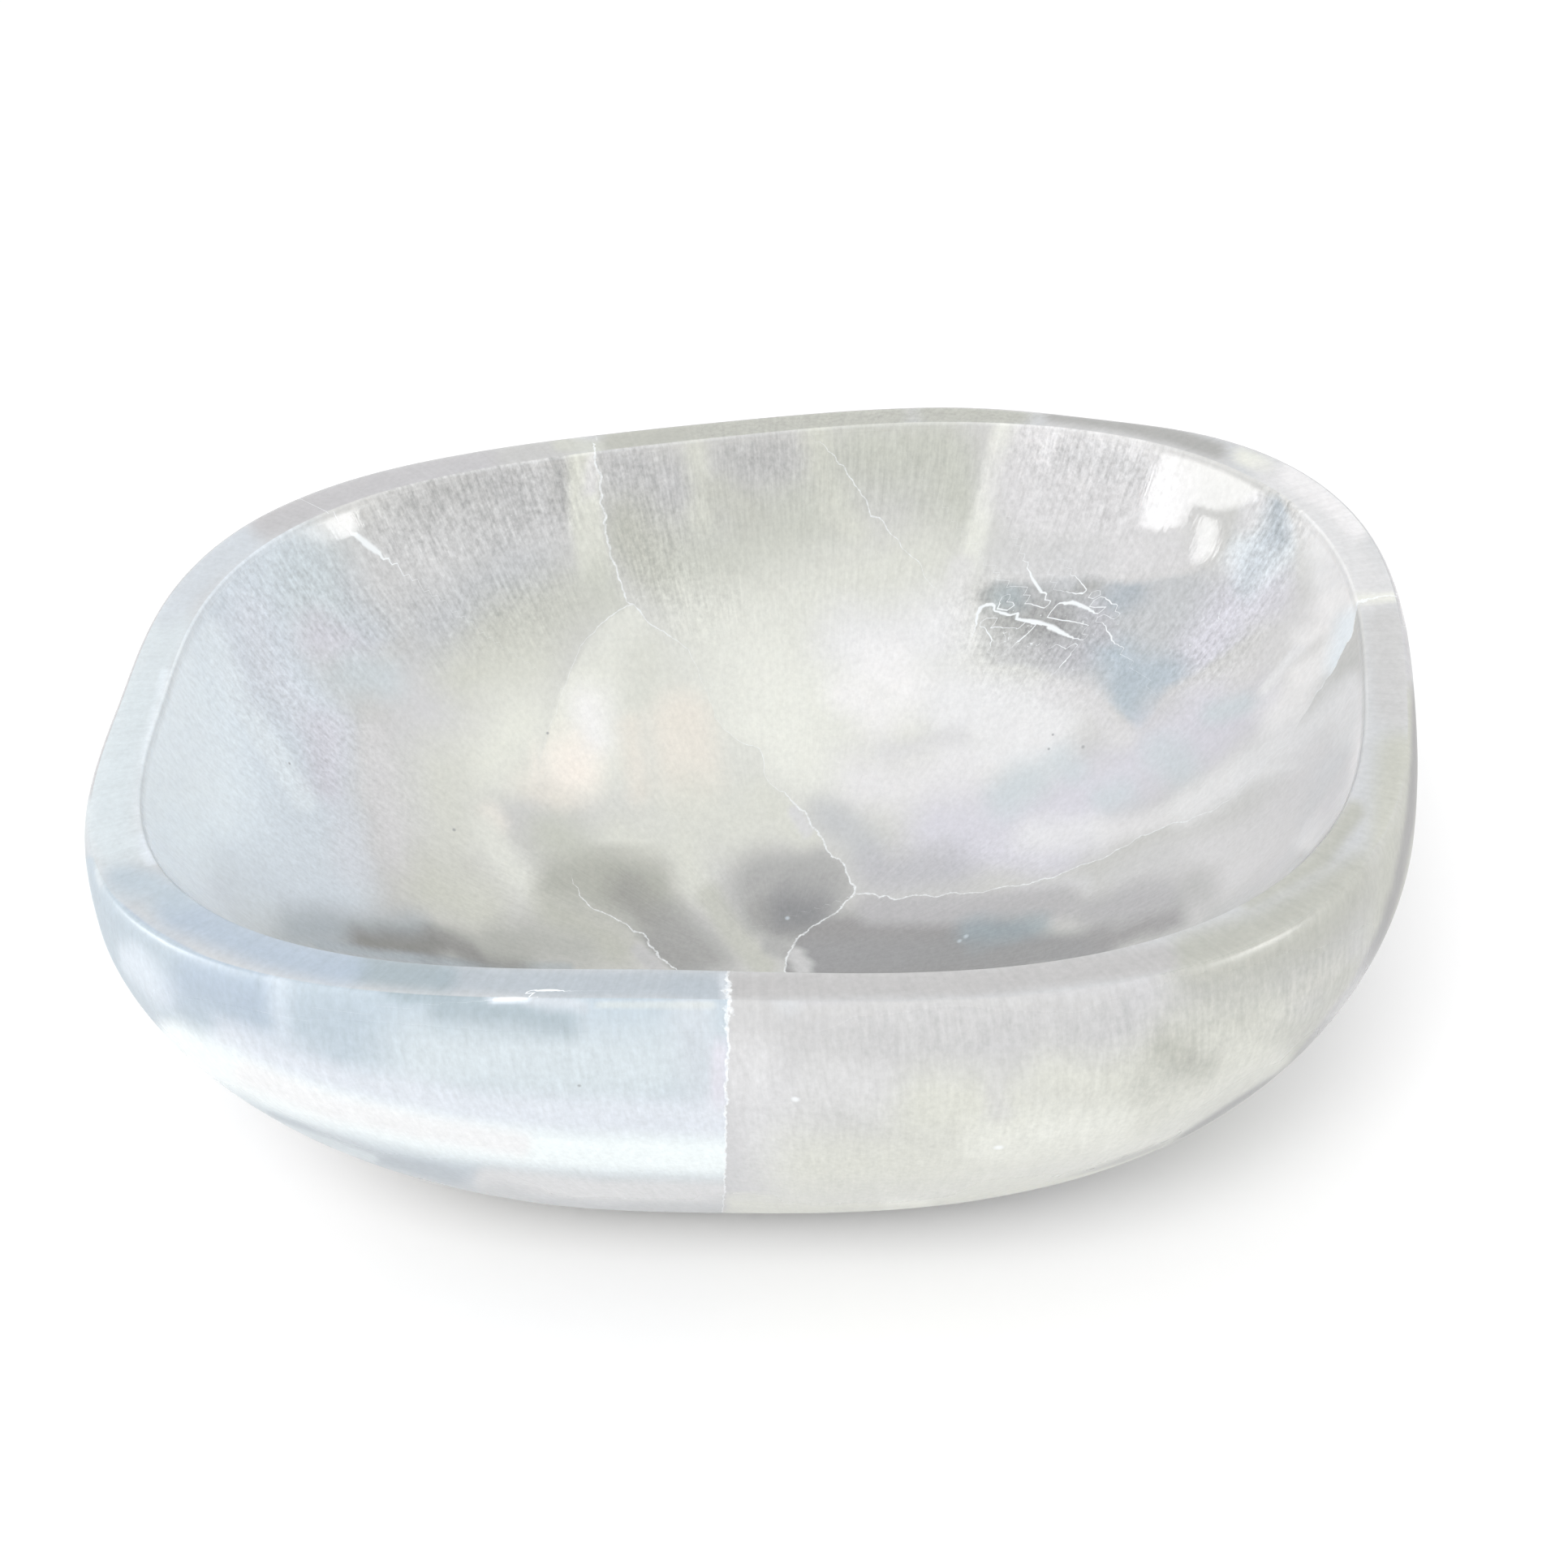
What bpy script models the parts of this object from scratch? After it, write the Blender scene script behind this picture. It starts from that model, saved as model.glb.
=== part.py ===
"""Selenite bowl, hollowed out of one block of fibrous gypsum.

Everything is in metres, +Z up. The origin lies on the ground under the middle of
the bowl, +X runs along its length and -Y is its front. The bowl is one closed
skin, extruded ring by ring from the edge of its flat foot: up the outside, over
the rim and down the inside to the middle of the floor.
"""

import math

import bmesh
import bpy

# Plan of the bowl where it is widest
HALF_LENGTH = 0.0813
HALF_WIDTH = 0.0631
SQUARENESS = 2.99

# A carved stone is never even: how much farther its plan reaches than a plain
# superellipse, as shares of the distance from the middle
RIGHT_REACH = 0.097
BACK_REACH = 0.077
CORNER_REACH = 0.020
THREE_SIDED_REACH = 0.005
FOUR_SIDED_REACH = -0.008

# Outer wall
HEIGHT = 0.0616
WIDEST_HEIGHT = 0.0507
FOOT_INSET = 0.0333
FOOT_SQUARENESS = 2.08
FOOT_TURN = math.radians(14.0)
BELLY_FULLNESS = 1.56
SHOULDER_LEAN = 0.0018

# Rim: nearly flat on top, with a slight fall at its outer edge that is worn
# wider and deeper at the back right corner
WALL_AT_RIM = 0.0069
WALL_THICKER_AT_ENDS = 0.0002
WALL_THICKER_AT_LEFT = 0.0003
FALL_WIDTH = 0.0005
FALL_DEPTH = 0.00005
WORN_ANGLE = math.radians(51.0)
WORN_SPREAD = math.radians(9.5)
WORN_WIDTH = 0.0030
WORN_DEPTH = 0.0009

# Hollow, with a crisp edge at the rim
INNER_SQUARENESS = 2.80
INNER_ROUND = 0.0005
FLOOR_THICKNESS = 0.0100
FLOOR_MIDDLE = (0.0045, 0.0012)
FLOOR_SQUARENESS = 2.0
HOLLOW_FULLNESS = 2.0
HOLLOW_TURN = math.radians(24.0)

# Fineness of the skin
POINTS_AROUND = 80
BELLY_RINGS = 12
SHOULDER_RINGS = 7
HOLLOW_RINGS = 13
SHARP_ANGLE = math.radians(24.0)

STONE_COLOUR = (0.72, 0.74, 0.73, 1.0)
STONE_ROUGHNESS = 0.22
STONE_IOR = 1.52
STONE_TRANSMISSION = 0.25

ANGLES = [2 * math.pi * step / POINTS_AROUND for step in range(POINTS_AROUND)]
QUARTER_TURN = math.pi / 2


def clear_scene():
    """Remove whatever the scene holds."""
    for thing in list(bpy.data.objects):
        bpy.data.objects.remove(thing, do_unlink=True)


def plan_radius(angle, inset, squareness):
    """Distance from the middle to an outline that lies inset from the widest one."""
    across = abs(math.cos(angle) / (HALF_LENGTH - inset)) ** squareness
    along = abs(math.sin(angle) / (HALF_WIDTH - inset)) ** squareness
    reach = (
        1
        + RIGHT_REACH * math.cos(angle)
        + BACK_REACH * math.sin(angle)
        + CORNER_REACH * math.sin(2 * angle)
        + THREE_SIDED_REACH * math.cos(3 * angle)
        + FOUR_SIDED_REACH * math.sin(4 * angle)
    )
    return (across + along) ** (-1 / squareness) * reach


def ring(radius_at, height_at):
    """Points of one outline, from its radius and its height at each angle."""
    return [
        (
            radius_at(angle) * math.cos(angle),
            radius_at(angle) * math.sin(angle),
            height_at(angle),
        )
        for angle in ANGLES
    ]


def level_ring(radius_at, height):
    """Points of an outline that lies level."""
    return ring(radius_at, lambda angle: height)


def wear(angle):
    """1 in the middle of the worn corner, fading to 0 away from it."""
    return math.exp(-(((angle - WORN_ANGLE) / WORN_SPREAD) ** 2))


def fall_depth(angle):
    """How far the outer edge of the rim lies under its flat."""
    return FALL_DEPTH + WORN_DEPTH * wear(angle)


def inner_radius(angle):
    """Distance from the middle to the rim's inner edge."""
    wall = (
        WALL_AT_RIM
        + WALL_THICKER_AT_ENDS * math.cos(2 * angle)
        - WALL_THICKER_AT_LEFT * math.cos(angle)
    )
    return plan_radius(angle, 0.0, INNER_SQUARENESS) - wall


def belly_reach(turn):
    """How far out and how far up the belly has come at a turn, as plain shares."""
    power = 2 / BELLY_FULLNESS
    return math.sin(turn) ** power, 1 - max(math.cos(turn), 0.0) ** power


def belly_rings():
    """The outer wall, from the edge of the foot up to the widest outline."""
    first_out, first_up = belly_reach(FOOT_TURN)
    rings = []
    for step in range(BELLY_RINGS):
        turn = FOOT_TURN + (QUARTER_TURN - FOOT_TURN) * step / (BELLY_RINGS - 1)
        reach_out, reach_up = belly_reach(turn)
        out = (reach_out - first_out) / (1 - first_out)
        up = (reach_up - first_up) / (1 - first_up)
        squareness = FOOT_SQUARENESS + (SQUARENESS - FOOT_SQUARENESS) * out
        inset = FOOT_INSET * (1 - out)
        radius_at = lambda angle: plan_radius(angle, inset, squareness)
        rings.append(level_ring(radius_at, WIDEST_HEIGHT * up))
    return rings


def shoulder_ring(slope):
    """Where the wall above the widest outline has turned its face up by slope."""

    def rise(angle):
        return HEIGHT - fall_depth(angle) - WIDEST_HEIGHT

    def spread(angle):
        return math.hypot(SHOULDER_LEAN * math.cos(slope), rise(angle) * math.sin(slope))

    def radius_at(angle):
        reach = SHOULDER_LEAN**2 * math.cos(slope) / spread(angle)
        return plan_radius(angle, 0.0, SQUARENESS) - SHOULDER_LEAN + reach

    def height_at(angle):
        return WIDEST_HEIGHT + rise(angle) ** 2 * math.sin(slope) / spread(angle)

    return ring(radius_at, height_at)


def shoulder_rings():
    """The wall above the widest outline, rounding over to the top of the rim."""
    shares = [step / SHOULDER_RINGS for step in range(1, SHOULDER_RINGS + 1)]
    return [shoulder_ring(QUARTER_TURN * share**2) for share in shares]


def fall_ring():
    """Where the fall at the rim's outer edge meets the flat."""

    def radius_at(angle):
        width = SHOULDER_LEAN + FALL_WIDTH + WORN_WIDTH * wear(angle)
        return plan_radius(angle, 0.0, SQUARENESS) - width

    return level_ring(radius_at, HEIGHT)


def inner_edge_rings():
    """The end of the rim's flat, and half way round its small inner edge."""
    turn = QUARTER_TURN / 2
    start = lambda angle: inner_radius(angle) + INNER_ROUND
    half = lambda angle: inner_radius(angle) + INNER_ROUND * (1 - math.sin(turn))
    return [
        level_ring(start, HEIGHT),
        level_ring(half, HEIGHT - INNER_ROUND * (1 - math.cos(turn))),
    ]


def hollow_reach(turn):
    """How far out the hollow still is and how far down it has come at a turn."""
    power = 2 / HOLLOW_FULLNESS
    return math.cos(turn) ** power, math.sin(turn) ** power


def hollow_rings():
    """The inside, from just under the inner edge to the last ring on the floor."""
    top = HEIGHT - INNER_ROUND
    first_out, first_down = hollow_reach(HOLLOW_TURN)
    rings = []
    for step in range(HOLLOW_RINGS):
        turn = HOLLOW_TURN + (QUARTER_TURN - HOLLOW_TURN) * step / HOLLOW_RINGS
        reach_out, reach_down = hollow_reach(turn)
        share = reach_out / first_out
        down = (reach_down - first_down) / (1 - first_down)
        height = top + (FLOOR_THICKNESS - top) * down
        squareness = FLOOR_SQUARENESS + (INNER_SQUARENESS - FLOOR_SQUARENESS) * share
        radius_at = (
            lambda angle: inner_radius(angle)
            * share
            * plan_radius(angle, 0.0, squareness)
            / plan_radius(angle, 0.0, INNER_SQUARENESS)
        )
        slide = [distance * (1 - share) for distance in FLOOR_MIDDLE]
        rings.append(
            [(x + slide[0], y + slide[1], z) for x, y, z in level_ring(radius_at, height)]
        )
    return rings


def widest_middle():
    """Middle of the box around the widest outline."""
    points = level_ring(lambda angle: plan_radius(angle, 0.0, SQUARENESS), 0.0)
    across = [point[0] for point in points]
    along = [point[1] for point in points]
    return (min(across) + max(across)) / 2, (min(along) + max(along)) / 2


def loop_edges(mesh, corners):
    """Edges that join the corners into one closed loop, made where missing."""
    pairs = zip(corners, corners[1:] + corners[:1])
    return [mesh.edges.get(pair) or mesh.edges.new(pair) for pair in pairs]


def extrude_ring(mesh, corners, points):
    """Extrude a loop of corners to the next outline and return the new loop."""
    grown = bmesh.ops.extrude_edge_only(mesh, edges=loop_edges(mesh, corners))
    fresh = {item for item in grown["geom"] if isinstance(item, bmesh.types.BMVert)}
    next_corners = []
    for corner, point in zip(corners, points):
        partners = (edge.other_vert(corner) for edge in corner.link_edges)
        partner = next(vertex for vertex in partners if vertex in fresh)
        partner.co = point
        next_corners.append(partner)
    return next_corners


def build_skin():
    """Extrude the foot's outline into one closed skin around the origin."""
    middle_x, middle_y = widest_middle()
    outlines = [
        [(x - middle_x, y - middle_y, z) for x, y, z in points]
        for points in [
            *belly_rings(),
            *shoulder_rings(),
            fall_ring(),
            *inner_edge_rings(),
            *hollow_rings(),
        ]
    ]
    mesh = bmesh.new()
    corners = [mesh.verts.new(point) for point in outlines[0]]
    mesh.faces.new(corners)
    for points in outlines[1:]:
        corners = extrude_ring(mesh, corners, points)
    floor = mesh.faces.new(corners)
    floor_middle = bmesh.ops.poke(mesh, faces=[floor])["verts"][0]
    floor_middle.co.z = FLOOR_THICKNESS
    bmesh.ops.recalc_face_normals(mesh, faces=mesh.faces)
    return mesh


def stone_material():
    """Polished, slightly see-through white stone."""
    material = bpy.data.materials.new("selenite")
    material.use_nodes = True
    shader = material.node_tree.nodes["Principled BSDF"]
    shader.inputs["Base Color"].default_value = STONE_COLOUR
    shader.inputs["Roughness"].default_value = STONE_ROUGHNESS
    shader.inputs["Metallic"].default_value = 0.0
    shader.inputs["IOR"].default_value = STONE_IOR
    shader.inputs["Transmission Weight"].default_value = STONE_TRANSMISSION
    return material


def build_bowl():
    """Make the bowl's object and place it in the scene."""
    skin = build_skin()
    mesh = bpy.data.meshes.new("bowl")
    skin.to_mesh(mesh)
    skin.free()
    mesh.shade_smooth()
    mesh.set_sharp_from_angle(angle=SHARP_ANGLE)
    mesh.materials.append(stone_material())
    bowl = bpy.data.objects.new("bowl", mesh)
    bpy.context.scene.collection.objects.link(bowl)
    return bowl


clear_scene()
build_bowl()
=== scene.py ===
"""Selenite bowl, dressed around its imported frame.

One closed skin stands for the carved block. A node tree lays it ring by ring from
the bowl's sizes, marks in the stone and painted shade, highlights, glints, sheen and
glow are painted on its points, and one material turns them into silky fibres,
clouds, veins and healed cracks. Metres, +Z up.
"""

import logging
import math
from dataclasses import dataclass, field, fields
from enum import Enum
from typing import Callable, ClassVar

import bpy
import numpy as np
from mathutils import Matrix, Vector, noise
from mathutils.bvhtree import BVHTree


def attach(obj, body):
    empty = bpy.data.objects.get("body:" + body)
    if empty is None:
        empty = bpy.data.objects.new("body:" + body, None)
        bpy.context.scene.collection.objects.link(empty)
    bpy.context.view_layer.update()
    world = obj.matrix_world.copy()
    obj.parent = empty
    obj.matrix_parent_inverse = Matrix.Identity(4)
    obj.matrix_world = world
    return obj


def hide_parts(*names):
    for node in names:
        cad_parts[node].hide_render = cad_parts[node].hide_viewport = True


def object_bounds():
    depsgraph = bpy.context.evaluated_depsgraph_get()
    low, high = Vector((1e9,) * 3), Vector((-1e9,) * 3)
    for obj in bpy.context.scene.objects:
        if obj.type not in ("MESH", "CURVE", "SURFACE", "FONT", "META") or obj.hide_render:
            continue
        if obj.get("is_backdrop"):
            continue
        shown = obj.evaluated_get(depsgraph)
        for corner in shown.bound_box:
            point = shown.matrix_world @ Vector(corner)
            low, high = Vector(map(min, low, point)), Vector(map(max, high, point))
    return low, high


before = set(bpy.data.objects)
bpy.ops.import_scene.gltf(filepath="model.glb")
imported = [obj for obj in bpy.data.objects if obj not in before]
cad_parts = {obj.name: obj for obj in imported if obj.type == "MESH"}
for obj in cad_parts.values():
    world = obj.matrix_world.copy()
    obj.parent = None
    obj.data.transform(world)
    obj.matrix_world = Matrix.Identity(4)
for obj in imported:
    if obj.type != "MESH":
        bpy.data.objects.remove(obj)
CAD_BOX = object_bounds()

LOG = logging.getLogger("selenite_bowl")

FULL_TURN = 2 * math.pi
QUARTER_TURN = math.pi / 2
MILLIMETRE = 0.001
NOISE_MIDDLE = 0.5
HALF_STEP = 0.5
FAR = 1e9
NO_LENGTH = 1e-9
DEEPEST = 9.0
NO_FRACTURE = 99.0
DROP_HEIGHT = 1.0
SCREEN_TOE = 0.04045
SCREEN_TOE_SLOPE = 12.92
SCREEN_SHIFT = 0.055
SCREEN_POWER = 2.4

Number = "Field | float"


def heading(turn: float, lift: float) -> np.ndarray:
    """Direction that is turned from the front to the right and lifted, in radians."""
    level = math.cos(lift)
    return np.array([math.sin(turn) * level, -math.cos(turn) * level, math.sin(lift)])


def distance_to_lines(pixels: np.ndarray, starts: np.ndarray, ends: np.ndarray) -> np.ndarray:
    """Measure how far each pixel is from the nearest of some straight stretches.

    Args:
        pixels: the pixels, one in each row.
        starts: first pixel of each stretch.
        ends: last pixel of each stretch.

    Returns:
        The distances.
    """
    nearest = np.full(len(pixels), FAR)
    for start, end in zip(starts, ends):
        along = end - start
        share = np.clip((pixels - start) @ along / max(along @ along, NO_LENGTH), 0, 1)
        foot = start + share[:, None] * along
        nearest = np.minimum(nearest, np.linalg.norm(pixels - foot, axis=1))
    return nearest


def flat_piece(name: str, corners: list, material: bpy.types.Material) -> bpy.types.Object:
    """Make one flat face and link it to the scene.

    Args:
        name: name of the mesh and the object.
        corners: its places, in order.
        material: what it is made of.

    Returns:
        The object.
    """
    mesh = bpy.data.meshes.new(name)
    mesh.from_pydata(corners, [], [list(range(len(corners)))])
    mesh.materials.append(material)
    made = bpy.data.objects.new(name, mesh)
    bpy.context.scene.collection.objects.link(made)
    return made


class Field:
    """A number that comes out of a node, and the sums that can be done with it."""

    def __init__(self, bench: "Bench", socket: bpy.types.NodeSocket) -> None:
        """Wrap a socket.

        Args:
            bench: the bench whose tree holds the socket.
            socket: the output that carries the number.
        """
        self.bench = bench
        self.socket = socket

    def __add__(self, other: Number) -> "Field":
        """This plus the other."""
        return self.bench.maths("ADD", self, other)

    def __radd__(self, other: Number) -> "Field":
        """The other plus this."""
        return self.bench.maths("ADD", other, self)

    def __sub__(self, other: Number) -> "Field":
        """This less the other."""
        return self.bench.maths("SUBTRACT", self, other)

    def __rsub__(self, other: Number) -> "Field":
        """The other less this."""
        return self.bench.maths("SUBTRACT", other, self)

    def __mul__(self, other: Number) -> "Field":
        """This times the other."""
        return self.bench.maths("MULTIPLY", self, other)

    def __rmul__(self, other: Number) -> "Field":
        """The other times this."""
        return self.bench.maths("MULTIPLY", other, self)

    def __truediv__(self, other: Number) -> "Field":
        """This over the other."""
        return self.bench.maths("DIVIDE", self, other)

    def __rtruediv__(self, other: Number) -> "Field":
        """The other over this."""
        return self.bench.maths("DIVIDE", other, self)

    def __pow__(self, other: Number) -> "Field":
        """This to the power of the other."""
        return self.bench.maths("POWER", self, other)

    def __rpow__(self, other: Number) -> "Field":
        """The other to the power of this."""
        return self.bench.maths("POWER", other, self)

    def __neg__(self) -> "Field":
        """This with its sign turned."""
        return self.bench.maths("MULTIPLY", self, -1.0)

    def __abs__(self) -> "Field":
        """This without its sign."""
        return self.bench.maths("ABSOLUTE", self)

    def cos(self) -> "Field":
        """Cosine of this angle."""
        return self.bench.maths("COSINE", self)

    def sin(self) -> "Field":
        """Sine of this angle."""
        return self.bench.maths("SINE", self)

    def above(self, limit: Number) -> "Field":
        """1 where this is over the limit, else 0."""
        return self.bench.maths("GREATER_THAN", self, limit)

    def at_least(self, limit: Number) -> "Field":
        """The greater of this and the limit."""
        return self.bench.maths("MAXIMUM", self, limit)

    def at_most(self, limit: Number) -> "Field":
        """The lesser of this and the limit."""
        return self.bench.maths("MINIMUM", self, limit)

    def share(self) -> "Field":
        """This, kept between 0 and 1."""
        return self.bench.number("ShaderNodeClamp", {}, {"Value": self})

    def ease(self, start: Number, end: Number) -> "Field":
        """Smooth step from 0 at the start to 1 at the end.

        Args:
            start: value at which the step begins.
            end: value at which it is done, which may be the lower of the two.

        Returns:
            The step, between 0 and 1.
        """
        return self.bench.number(
            "ShaderNodeMapRange", {"interpolation_type": "SMOOTHSTEP"},
            {"Value": self, "From Min": start, "From Max": end},
        )


@dataclass
class Bench:
    """A node tree and the one way in which nodes are put into it."""

    tree: bpy.types.NodeTree

    def node(self, kind: str, settings: dict, values: dict) -> bpy.types.Node:
        """Add a node.

        Args:
            kind: Blender's name for the node's type.
            settings: its properties, set first.
            values: a number, tuple, Field or output for each input, by name or place.

        Returns:
            The new node.
        """
        made = self.tree.nodes.new(kind)
        for name, setting in settings.items():
            setattr(made, name, setting)
        for place, value in values.items():
            source = value.socket if isinstance(value, Field) else value
            if isinstance(source, bpy.types.NodeSocket):
                self.tree.links.new(source, made.inputs[place])
            else:
                made.inputs[place].default_value = source
        return made

    def number(self, kind: str, settings: dict, values: dict, output: int | str = 0) -> Field:
        """Add a node and take one of its outputs as a Field.

        Args:
            kind: Blender's name for the node's type.
            settings: its properties.
            values: what its inputs get.
            output: name or place of the output.

        Returns:
            The output, ready for sums.
        """
        return Field(self, self.node(kind, settings, values).outputs[output])

    def maths(self, operation: str, *values: Number) -> Field:
        """Add one step of arithmetic.

        Args:
            operation: Blender's name for it.
            values: its one or two values.

        Returns:
            The result.
        """
        return self.number("ShaderNodeMath", {"operation": operation}, dict(enumerate(values)))

    def blend(self, share: Number, first: object, second: object) -> Field:
        """Mix two colours.

        Args:
            share: how much of the second colour there is, from 0 to 1.
            first: a colour or an output.
            second: a colour or an output.

        Returns:
            The mixed colour.
        """
        return self.number("ShaderNodeMix", {"data_type": "RGBA"}, {0: share, 6: first, 7: second}, 2)

    def vector(self, operation: str, first: object, second: object) -> Field:
        """Add one step of vector arithmetic.

        Args:
            operation: Blender's name for it.
            first: a vector, a colour or an output.
            second: a vector, a colour or an output.

        Returns:
            The resulting vector.
        """
        return self.number("ShaderNodeVectorMath", {"operation": operation}, {0: first, 1: second})

    def scale(self, first: object, factor: Number) -> Field:
        """Multiply a vector or a colour by a number."""
        return self.number("ShaderNodeVectorMath", {"operation": "SCALE"}, {0: first, "Scale": factor})


class Zone(Enum):
    """Stretches of the skin, in the order in which the rings are laid."""

    FOOT = 0
    BELLY = 1
    SHOULDER = 2
    FALL = 3
    RIM = 4
    EDGE = 5
    HOLLOW = 6


@dataclass
class BowlSkin:
    """The carved form, with the sizes of the solid that it replaces."""

    half_length: float = 0.0813
    half_width: float = 0.0631
    squareness: float = 2.99
    right_reach: float = 0.097
    back_reach: float = 0.077
    corner_reach: float = 0.020
    three_sided_reach: float = 0.005
    four_sided_reach: float = -0.008
    height: float = 0.0616
    widest_height: float = 0.0507
    foot_inset: float = 0.0333
    foot_squareness: float = 2.08
    foot_turn: float = math.radians(14.0)
    belly_fullness: float = 1.56
    shoulder_lean: float = 0.0018
    wall_at_rim: float = 0.0069
    wall_thicker_at_ends: float = 0.0002
    wall_thicker_at_left: float = 0.0003
    fall_width: float = 0.0005
    fall_depth: float = 0.00005
    worn_angle: float = math.radians(51.0)
    worn_spread: float = math.radians(9.5)
    worn_width: float = 0.0030
    worn_depth: float = 0.0009
    inner_squareness: float = 2.80
    inner_round: float = 0.0005
    floor_thickness: float = 0.0100
    floor_middle_x: float = 0.0045
    floor_middle_y: float = 0.0012
    floor_squareness: float = 2.0
    hollow_fullness: float = 2.0
    hollow_turn: float = math.radians(24.0)
    carving_depth: float = 0.00014
    carving_spacing: float = 0.021
    seed: float = 4.0
    points_around: int = 512
    foot_rings: int = 7
    belly_rings: int = 50
    shoulder_rings: int = 14
    fall_rings: int = 4
    rim_rings: int = 9
    edge_rings: int = 5
    hollow_rings: int = 96
    solid_points: ClassVar[int] = 80
    weld: ClassVar[float] = 2e-6
    calm_foot: ClassVar[float] = 0.006
    shoulder_turn: ClassVar[float] = 1.5
    bench: Bench = field(init=False, repr=False)
    size: dict = field(init=False, repr=False)
    angle: Field = field(init=False, repr=False)

    def build(self, stone: bpy.types.Material) -> bpy.types.Object:
        """Lay the skin and turn it into a plain mesh.

        Args:
            stone: the material for the whole skin.

        Returns:
            The bowl, at the origin, with the zone of each point as an attribute.
        """
        tree = self.lay_tree(stone)
        carrier = bpy.data.objects.new("skin", bpy.data.meshes.new("skin"))
        bpy.context.scene.collection.objects.link(carrier)
        modifier = carrier.modifiers.new("skin", "NODES")
        modifier.node_group = tree
        for name, identifier in self.identifiers(tree).items():
            modifier[identifier] = getattr(self, name)
        shown = carrier.evaluated_get(bpy.context.evaluated_depsgraph_get())
        mesh = bpy.data.meshes.new_from_object(shown)
        mesh.name = "selenite_bowl"
        bpy.data.objects.remove(carrier)
        bowl = bpy.data.objects.new("selenite_bowl", mesh)
        bpy.context.scene.collection.objects.link(bowl)
        return bowl

    def identifiers(self, tree: bpy.types.NodeTree) -> dict[str, str]:
        """Identifier of the tree's input for each size, by the size's name."""
        found = [item for item in tree.interface.items_tree if item.in_out == "INPUT"]
        return {item.name.replace(" ", "_"): item.identifier for item in found}

    def lay_tree(self, stone: bpy.types.Material) -> bpy.types.NodeTree:
        """Make the node tree that lays the skin.

        Args:
            stone: the material that the tree sets.

        Returns:
            The tree, with one named input for each size.
        """
        tree = bpy.data.node_groups.new("bowl_skin", "GeometryNodeTree")
        tree.interface.new_socket("skin", in_out="OUTPUT", socket_type="NodeSocketGeometry")
        for size in fields(self):
            if size.init:
                whole = isinstance(getattr(self, size.name), int)
                tree.interface.new_socket(
                    size.name.replace("_", " "), in_out="INPUT",
                    socket_type="NodeSocketInt" if whole else "NodeSocketFloat",
                )
        self.bench = Bench(tree)
        given = self.bench.node("NodeGroupInput", {}, {})
        self.size = {
            socket.name.replace(" ", "_"): Field(self.bench, socket)
            for socket in given.outputs
            if socket.name
        }
        steps = sum(self.size[f"{zone.name.lower()}_rings"] for zone in Zone)
        grid = self.bench.node(
            "GeometryNodeMeshGrid", {},
            {
                "Size X": 1.0, "Size Y": 1.0, "Vertices X": steps + 1,
                "Vertices Y": self.size["points_around"] + 1,
            },
        )
        spot = self.bench.node(
            "ShaderNodeSeparateXYZ", {}, {0: self.bench.number("GeometryNodeInputPosition", {}, {})},
        )
        self.angle = (Field(self.bench, spot.outputs["Y"]) + 0.5) * FULL_TURN
        step = (Field(self.bench, spot.outputs["X"]) + 0.5) * steps
        zone, place = self.place(step)
        kept = self.bench.number(
            "GeometryNodeStoreNamedAttribute", {"data_type": "FLOAT", "domain": "POINT"},
            {"Geometry": grid.outputs["Mesh"], "Name": "zone", "Value": zone},
        )
        laid = self.bench.number("GeometryNodeSetPosition", {}, {"Geometry": kept, "Position": place})
        closed = self.bench.number(
            "GeometryNodeMergeByDistance", {}, {"Geometry": laid, "Distance": self.weld},
        )
        outward = self.bench.number("GeometryNodeFlipFaces", {}, {"Mesh": closed})
        carved = self.bench.number(
            "GeometryNodeSetPosition", {}, {"Geometry": outward, "Offset": self.carving()},
        )
        smooth = self.bench.number("GeometryNodeSetShadeSmooth", {}, {"Geometry": carved})
        real = self.bench.number("GeometryNodeRealizeInstances", {}, {"Geometry": smooth})
        dressed = self.bench.number("GeometryNodeSetMaterial", {}, {"Geometry": real, "Material": stone})
        self.bench.node("NodeGroupOutput", {}, {0: dressed})
        return tree

    def carving(self) -> Field:
        """How far the hand-worked surface lies inside the even form, as a vector."""
        bench = self.bench
        spot = bench.number("GeometryNodeInputPosition", {}, {})
        above_foot = bench.number("ShaderNodeSeparateXYZ", {}, {0: spot}, "Z")
        unevenness = bench.number(
            "ShaderNodeTexNoise", {"noise_dimensions": "4D"},
            {
                "Vector": spot, "W": self.size["seed"], "Scale": 1 / self.size["carving_spacing"],
                "Detail": 1.0,
            },
        )
        depth = unevenness.share() * above_foot.ease(0.0, self.calm_foot)
        normal = bench.number("GeometryNodeInputNormal", {}, {})
        return bench.scale(normal, -(depth * self.size["carving_depth"]))

    def pick(self, test: Field, yes: Number, no: Number) -> Field:
        """Choose between two values.

        Args:
            test: 1 to take the first value and 0 to take the second.
            yes: the first value.
            no: the second value.

        Returns:
            The chosen value.
        """
        return self.bench.number(
            "GeometryNodeSwitch", {"input_type": "FLOAT"}, {"Switch": test, "True": yes, "False": no},
        )

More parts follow.
